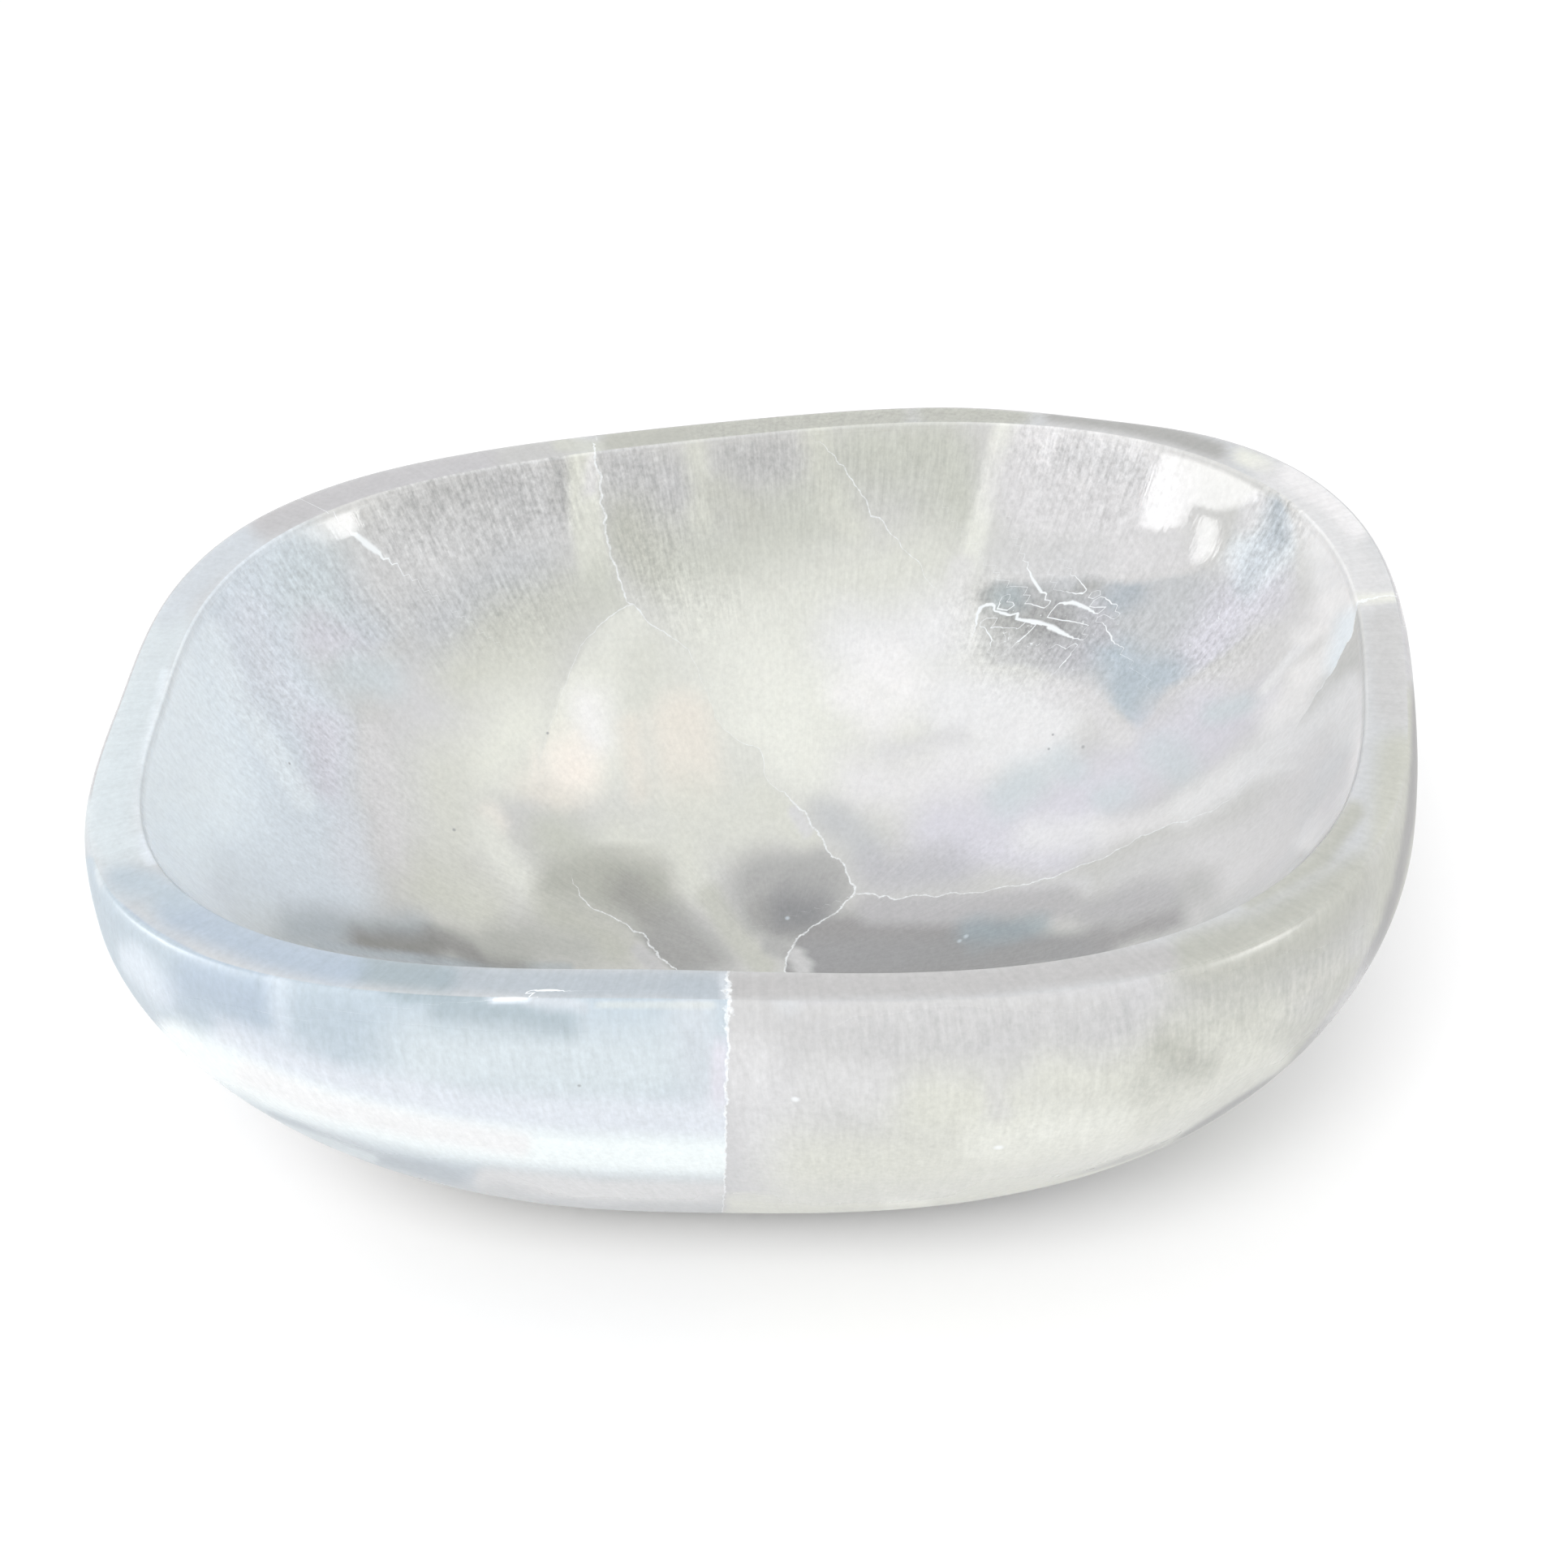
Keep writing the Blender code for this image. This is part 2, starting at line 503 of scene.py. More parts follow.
    @staticmethod
    def outline(size: dict, cos: Callable, sin: Callable, inset: Number, squareness: Number) -> Number:
        """Radius of an outline of the plan.

        Args:
            size: the skin's sizes, by name.
            cos: gives the cosine of the angle times a whole number.
            sin: gives the sine of the angle times a whole number.
            inset: how far inside the widest outline it lies.
            squareness: power of its superellipse.

        Returns:
            The distance from the middle at each angle.
        """
        across = (abs(cos(1)) / (size["half_length"] - inset)) ** squareness
        along = (abs(sin(1)) / (size["half_width"] - inset)) ** squareness
        reach = (
            1
            + size["right_reach"] * cos(1)
            + size["back_reach"] * sin(1)
            + size["corner_reach"] * sin(2)
            + size["three_sided_reach"] * cos(3)
            + size["four_sided_reach"] * sin(4)
        )
        return (across + along) ** (-1 / squareness) * reach

    def plan_radius(self, inset: Number, squareness: Number) -> Field:
        """Radius of an outline at the angle of each point of the grid."""

        def cos(times: int) -> Field:
            """Cosine of the angle times a number."""
            return (self.angle * times).cos()

        def sin(times: int) -> Field:
            """Sine of the angle times a number."""
            return (self.angle * times).sin()

        return self.outline(self.size, cos, sin, inset, squareness)

    def place(self, step: Field) -> tuple[Field, Field]:
        """Where each point of the flat grid goes.

        Args:
            step: number of the point's ring, from 0 in the middle of the foot.

        Returns:
            The number of its zone and its place.
        """
        size, bench = self.size, self.bench
        turn_left = QUARTER_TURN - size["foot_turn"]
        starts, shares = {}, {}
        start: Number = 0.0
        for zone in Zone:
            rings = size[f"{zone.name.lower()}_rings"]
            starts[zone] = start
            shares[zone] = ((step - start) / rings).share()
            start = start + rings
        lean, top = size["shoulder_lean"], size["height"]
        wear = math.e ** -(((self.angle - size["worn_angle"]) / size["worn_spread"]) ** 2)
        fall = size["fall_depth"] + size["worn_depth"] * wear
        widest = self.plan_radius(0.0, size["squareness"])
        inner_plan = self.plan_radius(0.0, size["inner_squareness"])
        wall = (
            size["wall_at_rim"]
            + size["wall_thicker_at_ends"] * (self.angle * 2).cos()
            - size["wall_thicker_at_left"] * self.angle.cos()
        )
        inner = inner_plan - wall
        radii, heights = {}, {}

        foot = self.plan_radius(size["foot_inset"], size["foot_squareness"])
        radii[Zone.FOOT] = foot * shares[Zone.FOOT]
        heights[Zone.FOOT] = 0.0

        power = 2 / size["belly_fullness"]
        turn = size["foot_turn"] + turn_left * shares[Zone.BELLY]
        first_out = size["foot_turn"].sin() ** power
        first_up = 1 - size["foot_turn"].cos() ** power
        out = (turn.sin() ** power - first_out) / (1 - first_out)
        up = (1 - turn.cos().at_least(0.0) ** power - first_up) / (1 - first_up)
        squareness = size["foot_squareness"] + (size["squareness"] - size["foot_squareness"]) * out
        radii[Zone.BELLY] = self.plan_radius(size["foot_inset"] * (1 - out), squareness)
        heights[Zone.BELLY] = size["widest_height"] * up

        slope = shares[Zone.SHOULDER] ** self.shoulder_turn * QUARTER_TURN
        rise = top - fall - size["widest_height"]
        spread = ((lean * slope.cos()) ** 2 + (rise * slope.sin()) ** 2) ** 0.5
        radii[Zone.SHOULDER] = widest - lean + lean**2 * slope.cos() / spread
        heights[Zone.SHOULDER] = size["widest_height"] + rise**2 * slope.sin() / spread

        fallen = size["fall_width"] + size["worn_width"] * wear
        radii[Zone.FALL] = widest - lean - fallen * shares[Zone.FALL]
        heights[Zone.FALL] = top - fall * (1 - shares[Zone.FALL]) ** 2

        outer_edge, inner_edge = widest - lean - fallen, inner + size["inner_round"]
        radii[Zone.RIM] = outer_edge + (inner_edge - outer_edge) * shares[Zone.RIM]
        heights[Zone.RIM] = top

        edge_turn = shares[Zone.EDGE] * QUARTER_TURN
        radii[Zone.EDGE] = inner + size["inner_round"] * (1 - edge_turn.sin())
        heights[Zone.EDGE] = top - size["inner_round"] * (1 - edge_turn.cos())

        power = 2 / size["hollow_fullness"]
        turn = size["hollow_turn"] + (QUARTER_TURN - size["hollow_turn"]) * shares[Zone.HOLLOW]
        still_out = turn.cos().at_least(0.0) ** power / size["hollow_turn"].cos() ** power
        first_down = size["hollow_turn"].sin() ** power
        down = (turn.sin() ** power - first_down) / (1 - first_down)
        squareness = (
            size["floor_squareness"] + (size["inner_squareness"] - size["floor_squareness"]) * still_out
        )
        radii[Zone.HOLLOW] = inner * still_out * self.plan_radius(0.0, squareness) / inner_plan
        under_edge = top - size["inner_round"]
        heights[Zone.HOLLOW] = under_edge + (size["floor_thickness"] - under_edge) * down

        number: Number = 0.0
        radius, height = radii[Zone.FOOT], heights[Zone.FOOT]
        for zone in list(Zone)[1:]:
            reached = step.above(starts[zone] + HALF_STEP)
            radius = self.pick(reached, radii[zone], radius)
            height = self.pick(reached, heights[zone], height)
            number = reached + number
        slide = (1 - still_out) * step.above(starts[Zone.HOLLOW] + HALF_STEP)
        middle_x, middle_y = self.widest_middle()
        place = bench.number(
            "ShaderNodeCombineXYZ", {},
            {
                "X": radius * self.angle.cos() + slide * size["floor_middle_x"] - middle_x,
                "Y": radius * self.angle.sin() + slide * size["floor_middle_y"] - middle_y,
                "Z": height,
            },
        )
        return number, place

    def widest_middle(self) -> tuple[float, float]:
        """Middle of the box around the widest outline, as the solid's source has it."""
        angles = np.arange(self.solid_points) * FULL_TURN / self.solid_points

        def cos(times: int) -> np.ndarray:
            """Cosine of the angles times a number."""
            return np.cos(times * angles)

        def sin(times: int) -> np.ndarray:
            """Sine of the angles times a number."""
            return np.sin(times * angles)

        radius = self.outline(vars(self), cos, sin, 0.0, self.squareness)
        x, y = radius * cos(1), radius * sin(1)
        return float(x.min() + x.max()) / 2, float(y.min() + y.max()) / 2


@dataclass
class Viewpoint:
    """Where the photograph was taken from, and its frame of 1932 x 1932 pixels."""

    target: tuple[float, float, float] = (0.00081, 0.01400, 0.03079)
    azimuth: float = 0.1385
    elevation: float = 0.6539
    roll: float = -0.0950
    distance: float = 0.33378
    lens: float = 55.90
    sensor: float = 36.0
    picture: int = 1932
    clip: tuple[float, float] = (0.01, 50.0)

    def axes(self) -> np.ndarray:
        """The camera's right, up and back directions, one in each row."""
        back = heading(self.azimuth, self.elevation)
        level = np.array([math.cos(self.azimuth), math.sin(self.azimuth), 0.0])
        upright = np.cross(back, level)
        right = math.cos(self.roll) * level + math.sin(self.roll) * upright
        return np.array([right, np.cross(back, right), back])

    def eye(self) -> np.ndarray:
        """The camera's place."""
        return np.array(self.target) + self.axes()[2] * self.distance

    def pixels(self, points: np.ndarray) -> np.ndarray:
        """Project points into the photograph's frame.

        Args:
            points: places in metres, one in each row.

        Returns:
            Their pixel coordinates, right and down.
        """
        right, up, away = ((points - self.eye()) @ self.axes().T).T
        reach = self.lens / self.sensor * self.picture / -away
        return np.stack([self.picture / 2 + right * reach, self.picture / 2 - up * reach], axis=1)

    def ray(self, x: float, y: float) -> tuple[Vector, Vector]:
        """Eye and direction of the line of sight through a pixel."""
        reach = self.lens / self.sensor * self.picture
        aim = np.array([(x - self.picture / 2) / reach, (self.picture / 2 - y) / reach, -1])
        return Vector(self.eye()), Vector(aim @ self.axes()).normalized()

    def build(self) -> None:
        """Make the camera and give it to the scene."""
        camera = bpy.data.cameras.new("camera")
        camera.lens = self.lens
        camera.sensor_width = self.sensor
        camera.clip_start, camera.clip_end = self.clip
        holder = bpy.data.objects.new("camera", camera)
        right, up, back = (Vector(row) for row in self.axes())
        turned = Matrix((right, up, back)).transposed().to_4x4()
        holder.matrix_world = Matrix.Translation(self.eye()) @ turned
        bpy.context.scene.collection.objects.link(holder)
        bpy.context.scene.camera = holder


class Side(Enum):
    """Which part of the skin a mark lies on."""

    OUTSIDE = 0
    RIM = 1
    INSIDE = 2


class Block(Enum):
    """Parts of the stone that have marks of their own.

    The two main fractures part three crystals. The others are patches with a clear
    edge on the hollow's wall or floor.
    """

    LEFT = "left_stone"
    BACK = "back_stone"
    FRONT = "front_stone"
    ARCH = "arch_stone"
    SMOKE = "smoke_stone"
    PANE = "pane_stone"


class Eye(Enum):
    """From where a fracture's points are dropped on the stone."""

    CAMERA = 0
    ABOVE = 1


class Tone(Enum):
    """Colours of the stone, as red, green and blue shares of 255 on a screen. They are also set to even out
    the studio's lamps, which is painted light: places that the lamps light well are painted darker, places
    in their shade lighter.
    """

    SNOW = (232, 231, 231)
    CHALK = (224, 224, 225)
    VAPOUR = (220, 219, 220)
    PEARL = (211, 210, 211)
    CLOUD = (205, 205, 206)
    SILVER = (200, 200, 200)
    TIN = (197, 197, 195)
    ZINC = (189, 191, 193)
    ASH = (187, 187, 187)
    NICKEL = (186, 186, 188)
    PEWTER = (182, 182, 181)
    STONE = (179, 178, 180)
    DUST = (176, 175, 175)
    FLINT = (169, 169, 168)
    SMOKE = (158, 158, 156)
    IRON = (152, 152, 153)
    LEAD = (151, 150, 150)
    SOOT = (141, 141, 139)
    EMBER = (136, 137, 139)
    MILK = (224, 225, 218)
    CREAM = (223, 224, 215)
    IVORY = (216, 217, 210)
    OAT = (209, 210, 202)
    LINEN = (203, 204, 195)
    BARLEY = (191, 193, 184)
    STRAW = (190, 190, 184)
    HAY = (189, 190, 182)
    MOSS = (182, 183, 174)
    SAGE = (177, 178, 173)
    FERN = (171, 172, 164)
    LICHEN = (150, 150, 146)
    FROST = (227, 236, 243)
    ICE = (227, 234, 239)
    MIST = (227, 234, 235)
    SKY = (208, 216, 224)
    BREEZE = (211, 215, 222)
    RAIN = (198, 206, 210)
    LAKE = (191, 197, 203)
    STEEL = (174, 186, 195)
    SLATE = (166, 179, 193)
    SEA = (168, 176, 183)
    TIDE = (152, 165, 172)
    LILAC = (207, 206, 214)
    VIOLET = (182, 182, 187)
    BLUSH = (236, 229, 221)
    ROSE = (222, 217, 208)
    GLINT = (234, 237, 239)
    CHIP = (198, 208, 216)
    PIT = (138, 140, 143)

    def levels(self) -> np.ndarray:
        """The tone in linear light."""
        share = np.array(self.value) / 255
        curve = ((share + SCREEN_SHIFT) / (1 + SCREEN_SHIFT)) ** SCREEN_POWER
        return np.where(share < SCREEN_TOE, share / SCREEN_TOE_SLOPE, curve)


class Grain(Enum):
    """How strongly the stone shows fibres, speckle and white flecks, and how dull it is."""

    CLEAR = (0.04, 0.13, 0.05, 0.0)
    SILKY = (0.13, 0.16, 0.10, 0.0)
    BRUSHED = (0.24, 0.20, 0.14, 0.0)
    WOVEN = (0.34, 0.38, 0.24, 0.0)
    FELTED = (0.46, 0.50, 0.29, 0.0)
    CRAZED = (0.28, 0.50, 0.35, 0.0)
    FROSTED = (0.12, 0.28, 0.22, 0.0)
    WORN = (0.09, 0.14, 0.08, 1.0)

    def levels(self) -> np.ndarray:
        """The four strengths."""
        return np.array(self.value)


LEFT = (Block.LEFT, Block.ARCH, Block.SMOKE)
BACK = (Block.BACK, Block.PANE)
FRONT = (Block.FRONT,)
RIGHT = (*BACK, *FRONT)
ARCH, SMOKE, PANE = (Block.ARCH,), (Block.SMOKE,), (Block.PANE,)


@dataclass(frozen=True)
class Mark:
    """A cloud, band or spot in the stone, or painted shade, highlight, sheen or glow, by its pixels in the
    photograph.

    It lies around the line through its points, fades out over its soft share and
    covers what earlier marks left by its strength.
    """

    name: str
    tone: Tone | Grain
    points: tuple
    width: float
    blocks: tuple = tuple(Block)
    strength: float = 0.9
    soft: float = 0.7
    steady_up_to: ClassVar[float] = 0.64
    cloudy_softer: ClassVar[float] = 0.2

    def cover(self, pixels: np.ndarray) -> np.ndarray:
        """How much the mark covers at each of the given places, from 0 to 1.

        Args:
            pixels: the steady and the drifting pixel of each place, in one row. Soft
                marks take the drifting one, so that they are cloudy.

        Returns:
            The cover at each place.
        """
        cloudy = self.soft > self.steady_up_to
        pixels = pixels[:, 2:] if cloudy else pixels[:, :2]
        ends = np.array(self.points, dtype=float)
        nearest = distance_to_lines(pixels, ends, ends[1:] if len(ends) > 1 else ends)
        soft = min(self.soft + self.cloudy_softer, 1.0) if cloudy else self.soft
        inner = self.width * (1 - soft)
        outer = self.width * (1 + soft)
        share = np.clip((outer - nearest) / (outer - inner), 0, 1)
        return self.strength * share * share * (3 - 2 * share)


@dataclass(frozen=True)
class Facet:
    """A patch of the hollow with a clear edge, by the pixels of its corners."""

    block: Block
    edge: float
    corners: tuple

    def depth(self, pixels: np.ndarray) -> np.ndarray:
        """How far inside the patch each pixel lies.

        Args:
            pixels: the steady and the drifting pixel of each place, in one row.

        Returns:
            Distances from its outline in edge widths, below 0 outside it.
        """
        starts = np.array(self.corners, dtype=float)
        ends = np.roll(starts, -1, axis=0)
        nearest = distance_to_lines(pixels[:, :2], starts, ends)
        inside = np.zeros(len(pixels), dtype=bool)
        x, y = pixels[:, :2].T
        for start, along in zip(starts, ends - starts):
            if along[1]:
                crosses = (start[1] > y) != (start[1] + along[1] > y)
                inside ^= crosses & (x < start[0] + (y - start[1]) * along[0] / along[1])
        return np.clip(np.where(inside, nearest, -nearest) / self.edge, -DEEPEST, DEEPEST)


@dataclass(frozen=True)
class Leg:
    """A stretch of a fracture: its side, where its points are seen from, and them.

    Each point has two pixels, or millimetres across and along for one seen from
    above, and half the width of its bright line in millimetres. The sheet goes as deep
    into the stone as its reach.
    """

    side: Side
    points: tuple
    eye: Eye = Eye.CAMERA
    reach: float = 0.014


@dataclass(frozen=True)
class Fracture:
    """A healed crack that runs through the stone as a thin sheet.

    Its legs join end to end, or lie apart from each other, as the thin white lines of the last fracture do,
    which include painted glints and painted highlight dashes.
    """

    name: str
    legs: tuple
    apart: bool = False


@dataclass(frozen=True)
class Flaw:
    """A tiny pit or glint in the skin, by its place and radius in millimetres."""

    name: str
    tone: Tone
    place: tuple
    radius: float
    faded: ClassVar[float] = 1.6
    full: ClassVar[float] = 0.4
    strength: ClassVar[float] = 0.7

    def lay(self, bench: Bench, spot: Field, coloured: Field) -> Field:
        """Put the flaw on the stone.

        Args:
            bench: the material's bench.
            spot: the place that is shaded.
            coloured: the colour without the flaw.

        Returns:
            The colour with it.
        """
        middle = tuple(part * MILLIMETRE for part in self.place)
        away = bench.number("ShaderNodeVectorMath", {"operation": "DISTANCE"}, {0: spot, 1: middle}, 1)
        reach = self.radius * MILLIMETRE
        cover = away.ease(self.faded * reach, self.full * reach) * self.strength
        LOG.debug("%s laid", self.name)
        return bench.blend(cover, coloured, (*self.tone.levels(), 1.0))


OUTSIDE_MARKS = (
    Mark("front ground", Tone.NICKEL, ((960, 1300),), 1500, strength=1.0, soft=0.3),
    Mark("left ground", Tone.STEEL, ((150, 1250), (880, 1280)), 190, LEFT, strength=1.0, soft=0.3),
    Mark("left corner", Tone.STEEL, ((140, 1130), (165, 1200), (215, 1240)), 32, LEFT),
    Mark("left corner, low", Tone.SKY, ((160, 1180), (205, 1225)), 18, LEFT, soft=0.6),
    Mark("left upper wall", Tone.SLATE, ((240, 1210), (330, 1235)), 34, LEFT),
    Mark("left teal wall", Tone.STEEL, ((380, 1240), (510, 1265)), 36, LEFT),
    Mark("left pale streak", Tone.SKY, ((352, 1215), (352, 1262)), 12, LEFT, strength=0.5, soft=0.9),
    Mark("left middle", Tone.RAIN, ((520, 1310), (850, 1310)), 55, LEFT),
    Mark("left teal edge", Tone.TIDE, ((540, 1245), (700, 1257)), 19, LEFT, strength=0.8, soft=0.9),
    Mark("teal under the rim", Tone.TIDE, ((485, 1222), (580, 1228)), 9, LEFT, soft=0.8),
    Mark("pale under the rim", Tone.LAKE, ((630, 1228), (730, 1234)), 8, LEFT, soft=0.8),
    Mark("by the seam", Tone.LAKE, ((860, 1260), (875, 1380)), 26, LEFT, strength=0.8),
    Mark("lilac by the seam", Tone.LILAC, ((888, 1290), (886, 1360)), 11, LEFT, soft=0.6),
    # Painted sheen: a pale band across the left crystal's outer wall, brightest in its middle, stands in
    # for the silky sheen of its fibres; it stops at the seam.
    Mark(
        "band fade", Tone.BREEZE, ((280, 1288), (420, 1340), (600, 1374), (880, 1384)), 26, LEFT,
        strength=0.8, soft=0.63,
    ),
    Mark(
        "silky band", Tone.MIST,
        (
            (212, 1283), (270, 1313), (335, 1343), (400, 1366), (480, 1387), (560, 1404), (700, 1420),
            (890, 1427),
        ),
        24, LEFT, strength=1.0, soft=0.6,
    ),
    Mark(
        "band glare", Tone.CHALK, ((300, 1322), (400, 1362), (520, 1390), (640, 1410)), 15, LEFT, soft=0.63,
    ),
    Mark(
        "under the band", Tone.SEA, ((330, 1379), (400, 1403), (460, 1425), (560, 1450)), 9, LEFT, soft=0.6,
    ),
    Mark("under the band, right", Tone.CLOUD, ((600, 1453), (740, 1468), (890, 1471)), 15, LEFT, soft=0.6),
    Mark("left foot edge", Tone.ZINC, ((600, 1472), (740, 1488), (890, 1496)), 8, LEFT),
    Mark("upper front", Tone.ASH, ((930, 1285), (1100, 1285), (1380, 1265)), 46, RIGHT),
    Mark("right of the seam", Tone.CLOUD, ((930, 1330), (955, 1420)), 48, RIGHT, soft=0.8),
    Mark("grey step", Tone.SILVER, ((1010, 1335), (1080, 1345)), 34, RIGHT, soft=0.6),
    Mark("edge strip", Tone.ASH, ((905, 1240), (1050, 1242), (1180, 1240), (1380, 1235)), 9, RIGHT),
    Mark("green spot", Tone.ZINC, ((975, 1233),), 14, RIGHT),
    Mark(
        "cream low front", Tone.LINEN, ((1000, 1440), (1200, 1430), (1400, 1380), (1560, 1300)), 55, RIGHT,
    ),
    Mark("cream step", Tone.LINEN, ((1140, 1360), (1240, 1370)), 36, RIGHT),
    Mark("cream core", Tone.IVORY, ((1225, 1415), (1360, 1380)), 30, RIGHT, strength=0.8, soft=0.8),
    Mark("cream right", Tone.LINEN, ((1300, 1330), (1380, 1325)), 30, RIGHT, strength=0.8, soft=0.8),
    Mark("lilac stain", Tone.TIN, ((1233, 1330), (1236, 1370)), 13, RIGHT, soft=0.8),
    Mark("smudge", Tone.HAY, ((1415, 1325), (1450, 1280), (1560, 1240)), 34, RIGHT, soft=0.8),
    Mark("smudge core", Tone.FERN, ((1430, 1290), (1480, 1320)), 20, RIGHT, strength=0.8, soft=0.8),
    Mark("olive shoulder", Tone.FERN, ((1480, 1190), (1600, 1150), (1660, 1080)), 42, RIGHT),
    Mark("dark streaks", Tone.STRAW, ((1600, 1215), (1650, 1190)), 18, RIGHT, soft=0.8),
    Mark("far right wall", Tone.MOSS, ((1700, 1150), (1735, 1000), (1745, 880)), 26, RIGHT),
    Mark("far right low wall", Tone.FERN, ((1600, 1290), (1670, 1200)), 22, RIGHT),
    # Painted shade: thin darker lines along the right outline of the outside wall, where it turns away and
    # mirrors darker surroundings.
    Mark(
        "far right edge", Tone.LEAD, ((1706, 1142), (1722, 1090), (1738, 1010), (1745, 930), (1746, 850)),
        6, RIGHT, strength=1.0, soft=0.6,
    ),
    Mark(
        "low right edge", Tone.IRON, ((1300, 1463), (1450, 1408), (1590, 1318), (1670, 1215), (1705, 1145)),
        6, RIGHT, strength=1.0, soft=0.6,
    ),
    Mark("foot edge", Tone.OAT, ((905, 1492), (1100, 1488), (1300, 1460), (1450, 1410)), 9, RIGHT),
    Mark("rose at the foot", Tone.MILK, ((1090, 1483), (1130, 1483)), 9, RIGHT, strength=0.8),
    Mark("far left wall", Tone.RAIN, ((112, 1000), (120, 1080)), 14, LEFT),
    # Painted shade: thin darker lines along the left outline of the outside wall, where it turns away and
    # mirrors darker surroundings.
    Mark(
        "far left edge", Tone.STEEL, ((110, 1060), (118, 1110), (135, 1170), (160, 1232), (200, 1290)), 5,
        LEFT, strength=1.0, soft=0.6,
    ),
    Mark(
        "low left edge", Tone.RAIN, ((230, 1318), (285, 1355), (350, 1388), (460, 1428)), 5, LEFT, soft=0.6,
    ),
    # Painted highlights: short pale dashes along the front's outer edge stand in for the lamps' reflection
    # on its rounding.
    Mark("dash on the edge", Tone.SKY, ((606, 1232), (648, 1230)), 5, LEFT, strength=1.0, soft=0.6),
    Mark("dash past it", Tone.OAT, ((740, 1238), (880, 1238)), 4, LEFT, strength=0.35, soft=0.6),
)

RIM_MARKS = (
    Mark("rim ground", Tone.ZINC, ((960, 900),), 1200, strength=1.0, soft=0.3),
    Mark("left rim", Tone.RAIN, ((125, 1000), (150, 880)), 46, strength=1.0, soft=0.5),
    Mark("left rim, middle", Tone.RAIN, ((165, 850), (205, 775)), 34, soft=0.5),
    Mark("left rim, back", Tone.LAKE, ((205, 745), (250, 700), (300, 665)), 26, soft=0.6),
    # Painted light: the left inner edge is painted paler, to even out the dark line that its rounding
    # shades.
    Mark(
        "left inner edge", Tone.FROST, ((203, 830), (182, 920), (174, 1000), (186, 1060)), 6, strength=0.4,
        soft=0.6,
    ),
    Mark("back left rim", Tone.STONE, ((330, 640), (500, 590), (600, 570)), 24, soft=0.6),
    Mark("back left rim, end", Tone.PEWTER, ((630, 562), (690, 552)), 20, soft=0.6),
    Mark("back rim", Tone.FERN, ((760, 545), (900, 528), (1000, 520)), 22, soft=0.6),
    Mark("back rim, right", Tone.FERN, ((1030, 516), (1100, 512)), 22, soft=0.6),
    Mark("back right rim", Tone.FERN, ((1150, 508), (1250, 506)), 22, soft=0.6),
    Mark("rim by the worn corner", Tone.ASH, ((1300, 525), (1420, 548), (1500, 575)), 14, soft=0.6),
    # Painted shade: the worn corner's rounded outer edge is painted dark where it slopes outward and
    # mirrors dark surroundings; the wear itself is in the skin's shape.
    Mark("worn corner", Tone.SMOKE, ((1296, 509), (1380, 521), (1450, 538), (1500, 555)), 10, soft=0.6),
    Mark("cream past the corner", Tone.IVORY, ((1530, 562), (1560, 575)), 10, soft=0.6),
    Mark("right rim, back", Tone.CLOUD, ((1570, 600), (1640, 665), (1690, 725)), 30, soft=0.6),
    Mark("right rim, bright", Tone.VAPOUR, ((1590, 585), (1640, 618), (1672, 650)), 15, soft=0.6),
    Mark("right rim", Tone.ASH, ((1710, 775), (1722, 870)), 28, soft=0.5),
    Mark("right rim, low", Tone.MOSS, ((1725, 930), (1715, 1040)), 28, soft=0.6),
    Mark("front right rim", Tone.FERN, ((1680, 1080), (1560, 1150), (1470, 1178)), 30, soft=0.6),
    Mark("olive by the inner edge", Tone.FERN, ((1668, 1000), (1625, 1058), (1540, 1106)), 13, soft=0.6),
    Mark("front rim right", Tone.DUST, ((1430, 1182), (1200, 1210), (905, 1215)), 20, RIGHT, soft=0.6),
    Mark("front rim left", Tone.SEA, ((890, 1212), (700, 1212), (560, 1203)), 20, LEFT, soft=0.6),
    Mark("front rim, teal", Tone.TIDE, ((540, 1202), (450, 1192)), 22, LEFT, soft=0.6),
    Mark("left front rim", Tone.SLATE, ((420, 1188), (330, 1165), (220, 1120)), 28, LEFT, soft=0.6),
    Mark("left front rim, end", Tone.STEEL, ((190, 1098), (150, 1085)), 22, LEFT),
    Mark("left front rim, pale", Tone.RAIN, ((130, 1050), (165, 1045)), 20, LEFT),
    Mark("pale chip", Tone.SKY, ((182, 1040), (192, 1058)), 8, LEFT, strength=0.7),
    Mark("dark start", Tone.STEEL, ((235, 1098), (215, 1110)), 12, LEFT, strength=0.7),
    # Painted highlights: pale lines along the left front rim's inner and outer edges stand in for the
    # lamps' reflection on them.
    Mark("inner edge light", Tone.RAIN, ((240, 1105), (300, 1132), (380, 1158)), 5, LEFT, soft=0.6),
    Mark("outer edge light", Tone.SLATE, ((140, 1112), (190, 1150), (250, 1183)), 5, LEFT, soft=0.6),
    Mark("grey by the seam", Tone.SEA, ((835, 1215), (880, 1222)), 13, LEFT, soft=0.5),
    Mark("seam light", Tone.LAKE, ((893, 1205), (896, 1235)), 8, LEFT, soft=0.5),
    Mark("back edge light", Tone.BARLEY, ((690, 547), (735, 552)), 9, strength=0.7, soft=0.6),
    Mark("rim vein right", Tone.IVORY, ((1668, 738), (1716, 735)), 6, soft=0.5),
    Mark("rim vein left", Tone.RAIN, ((140, 868), (215, 862)), 6, strength=0.7, soft=0.6),
)

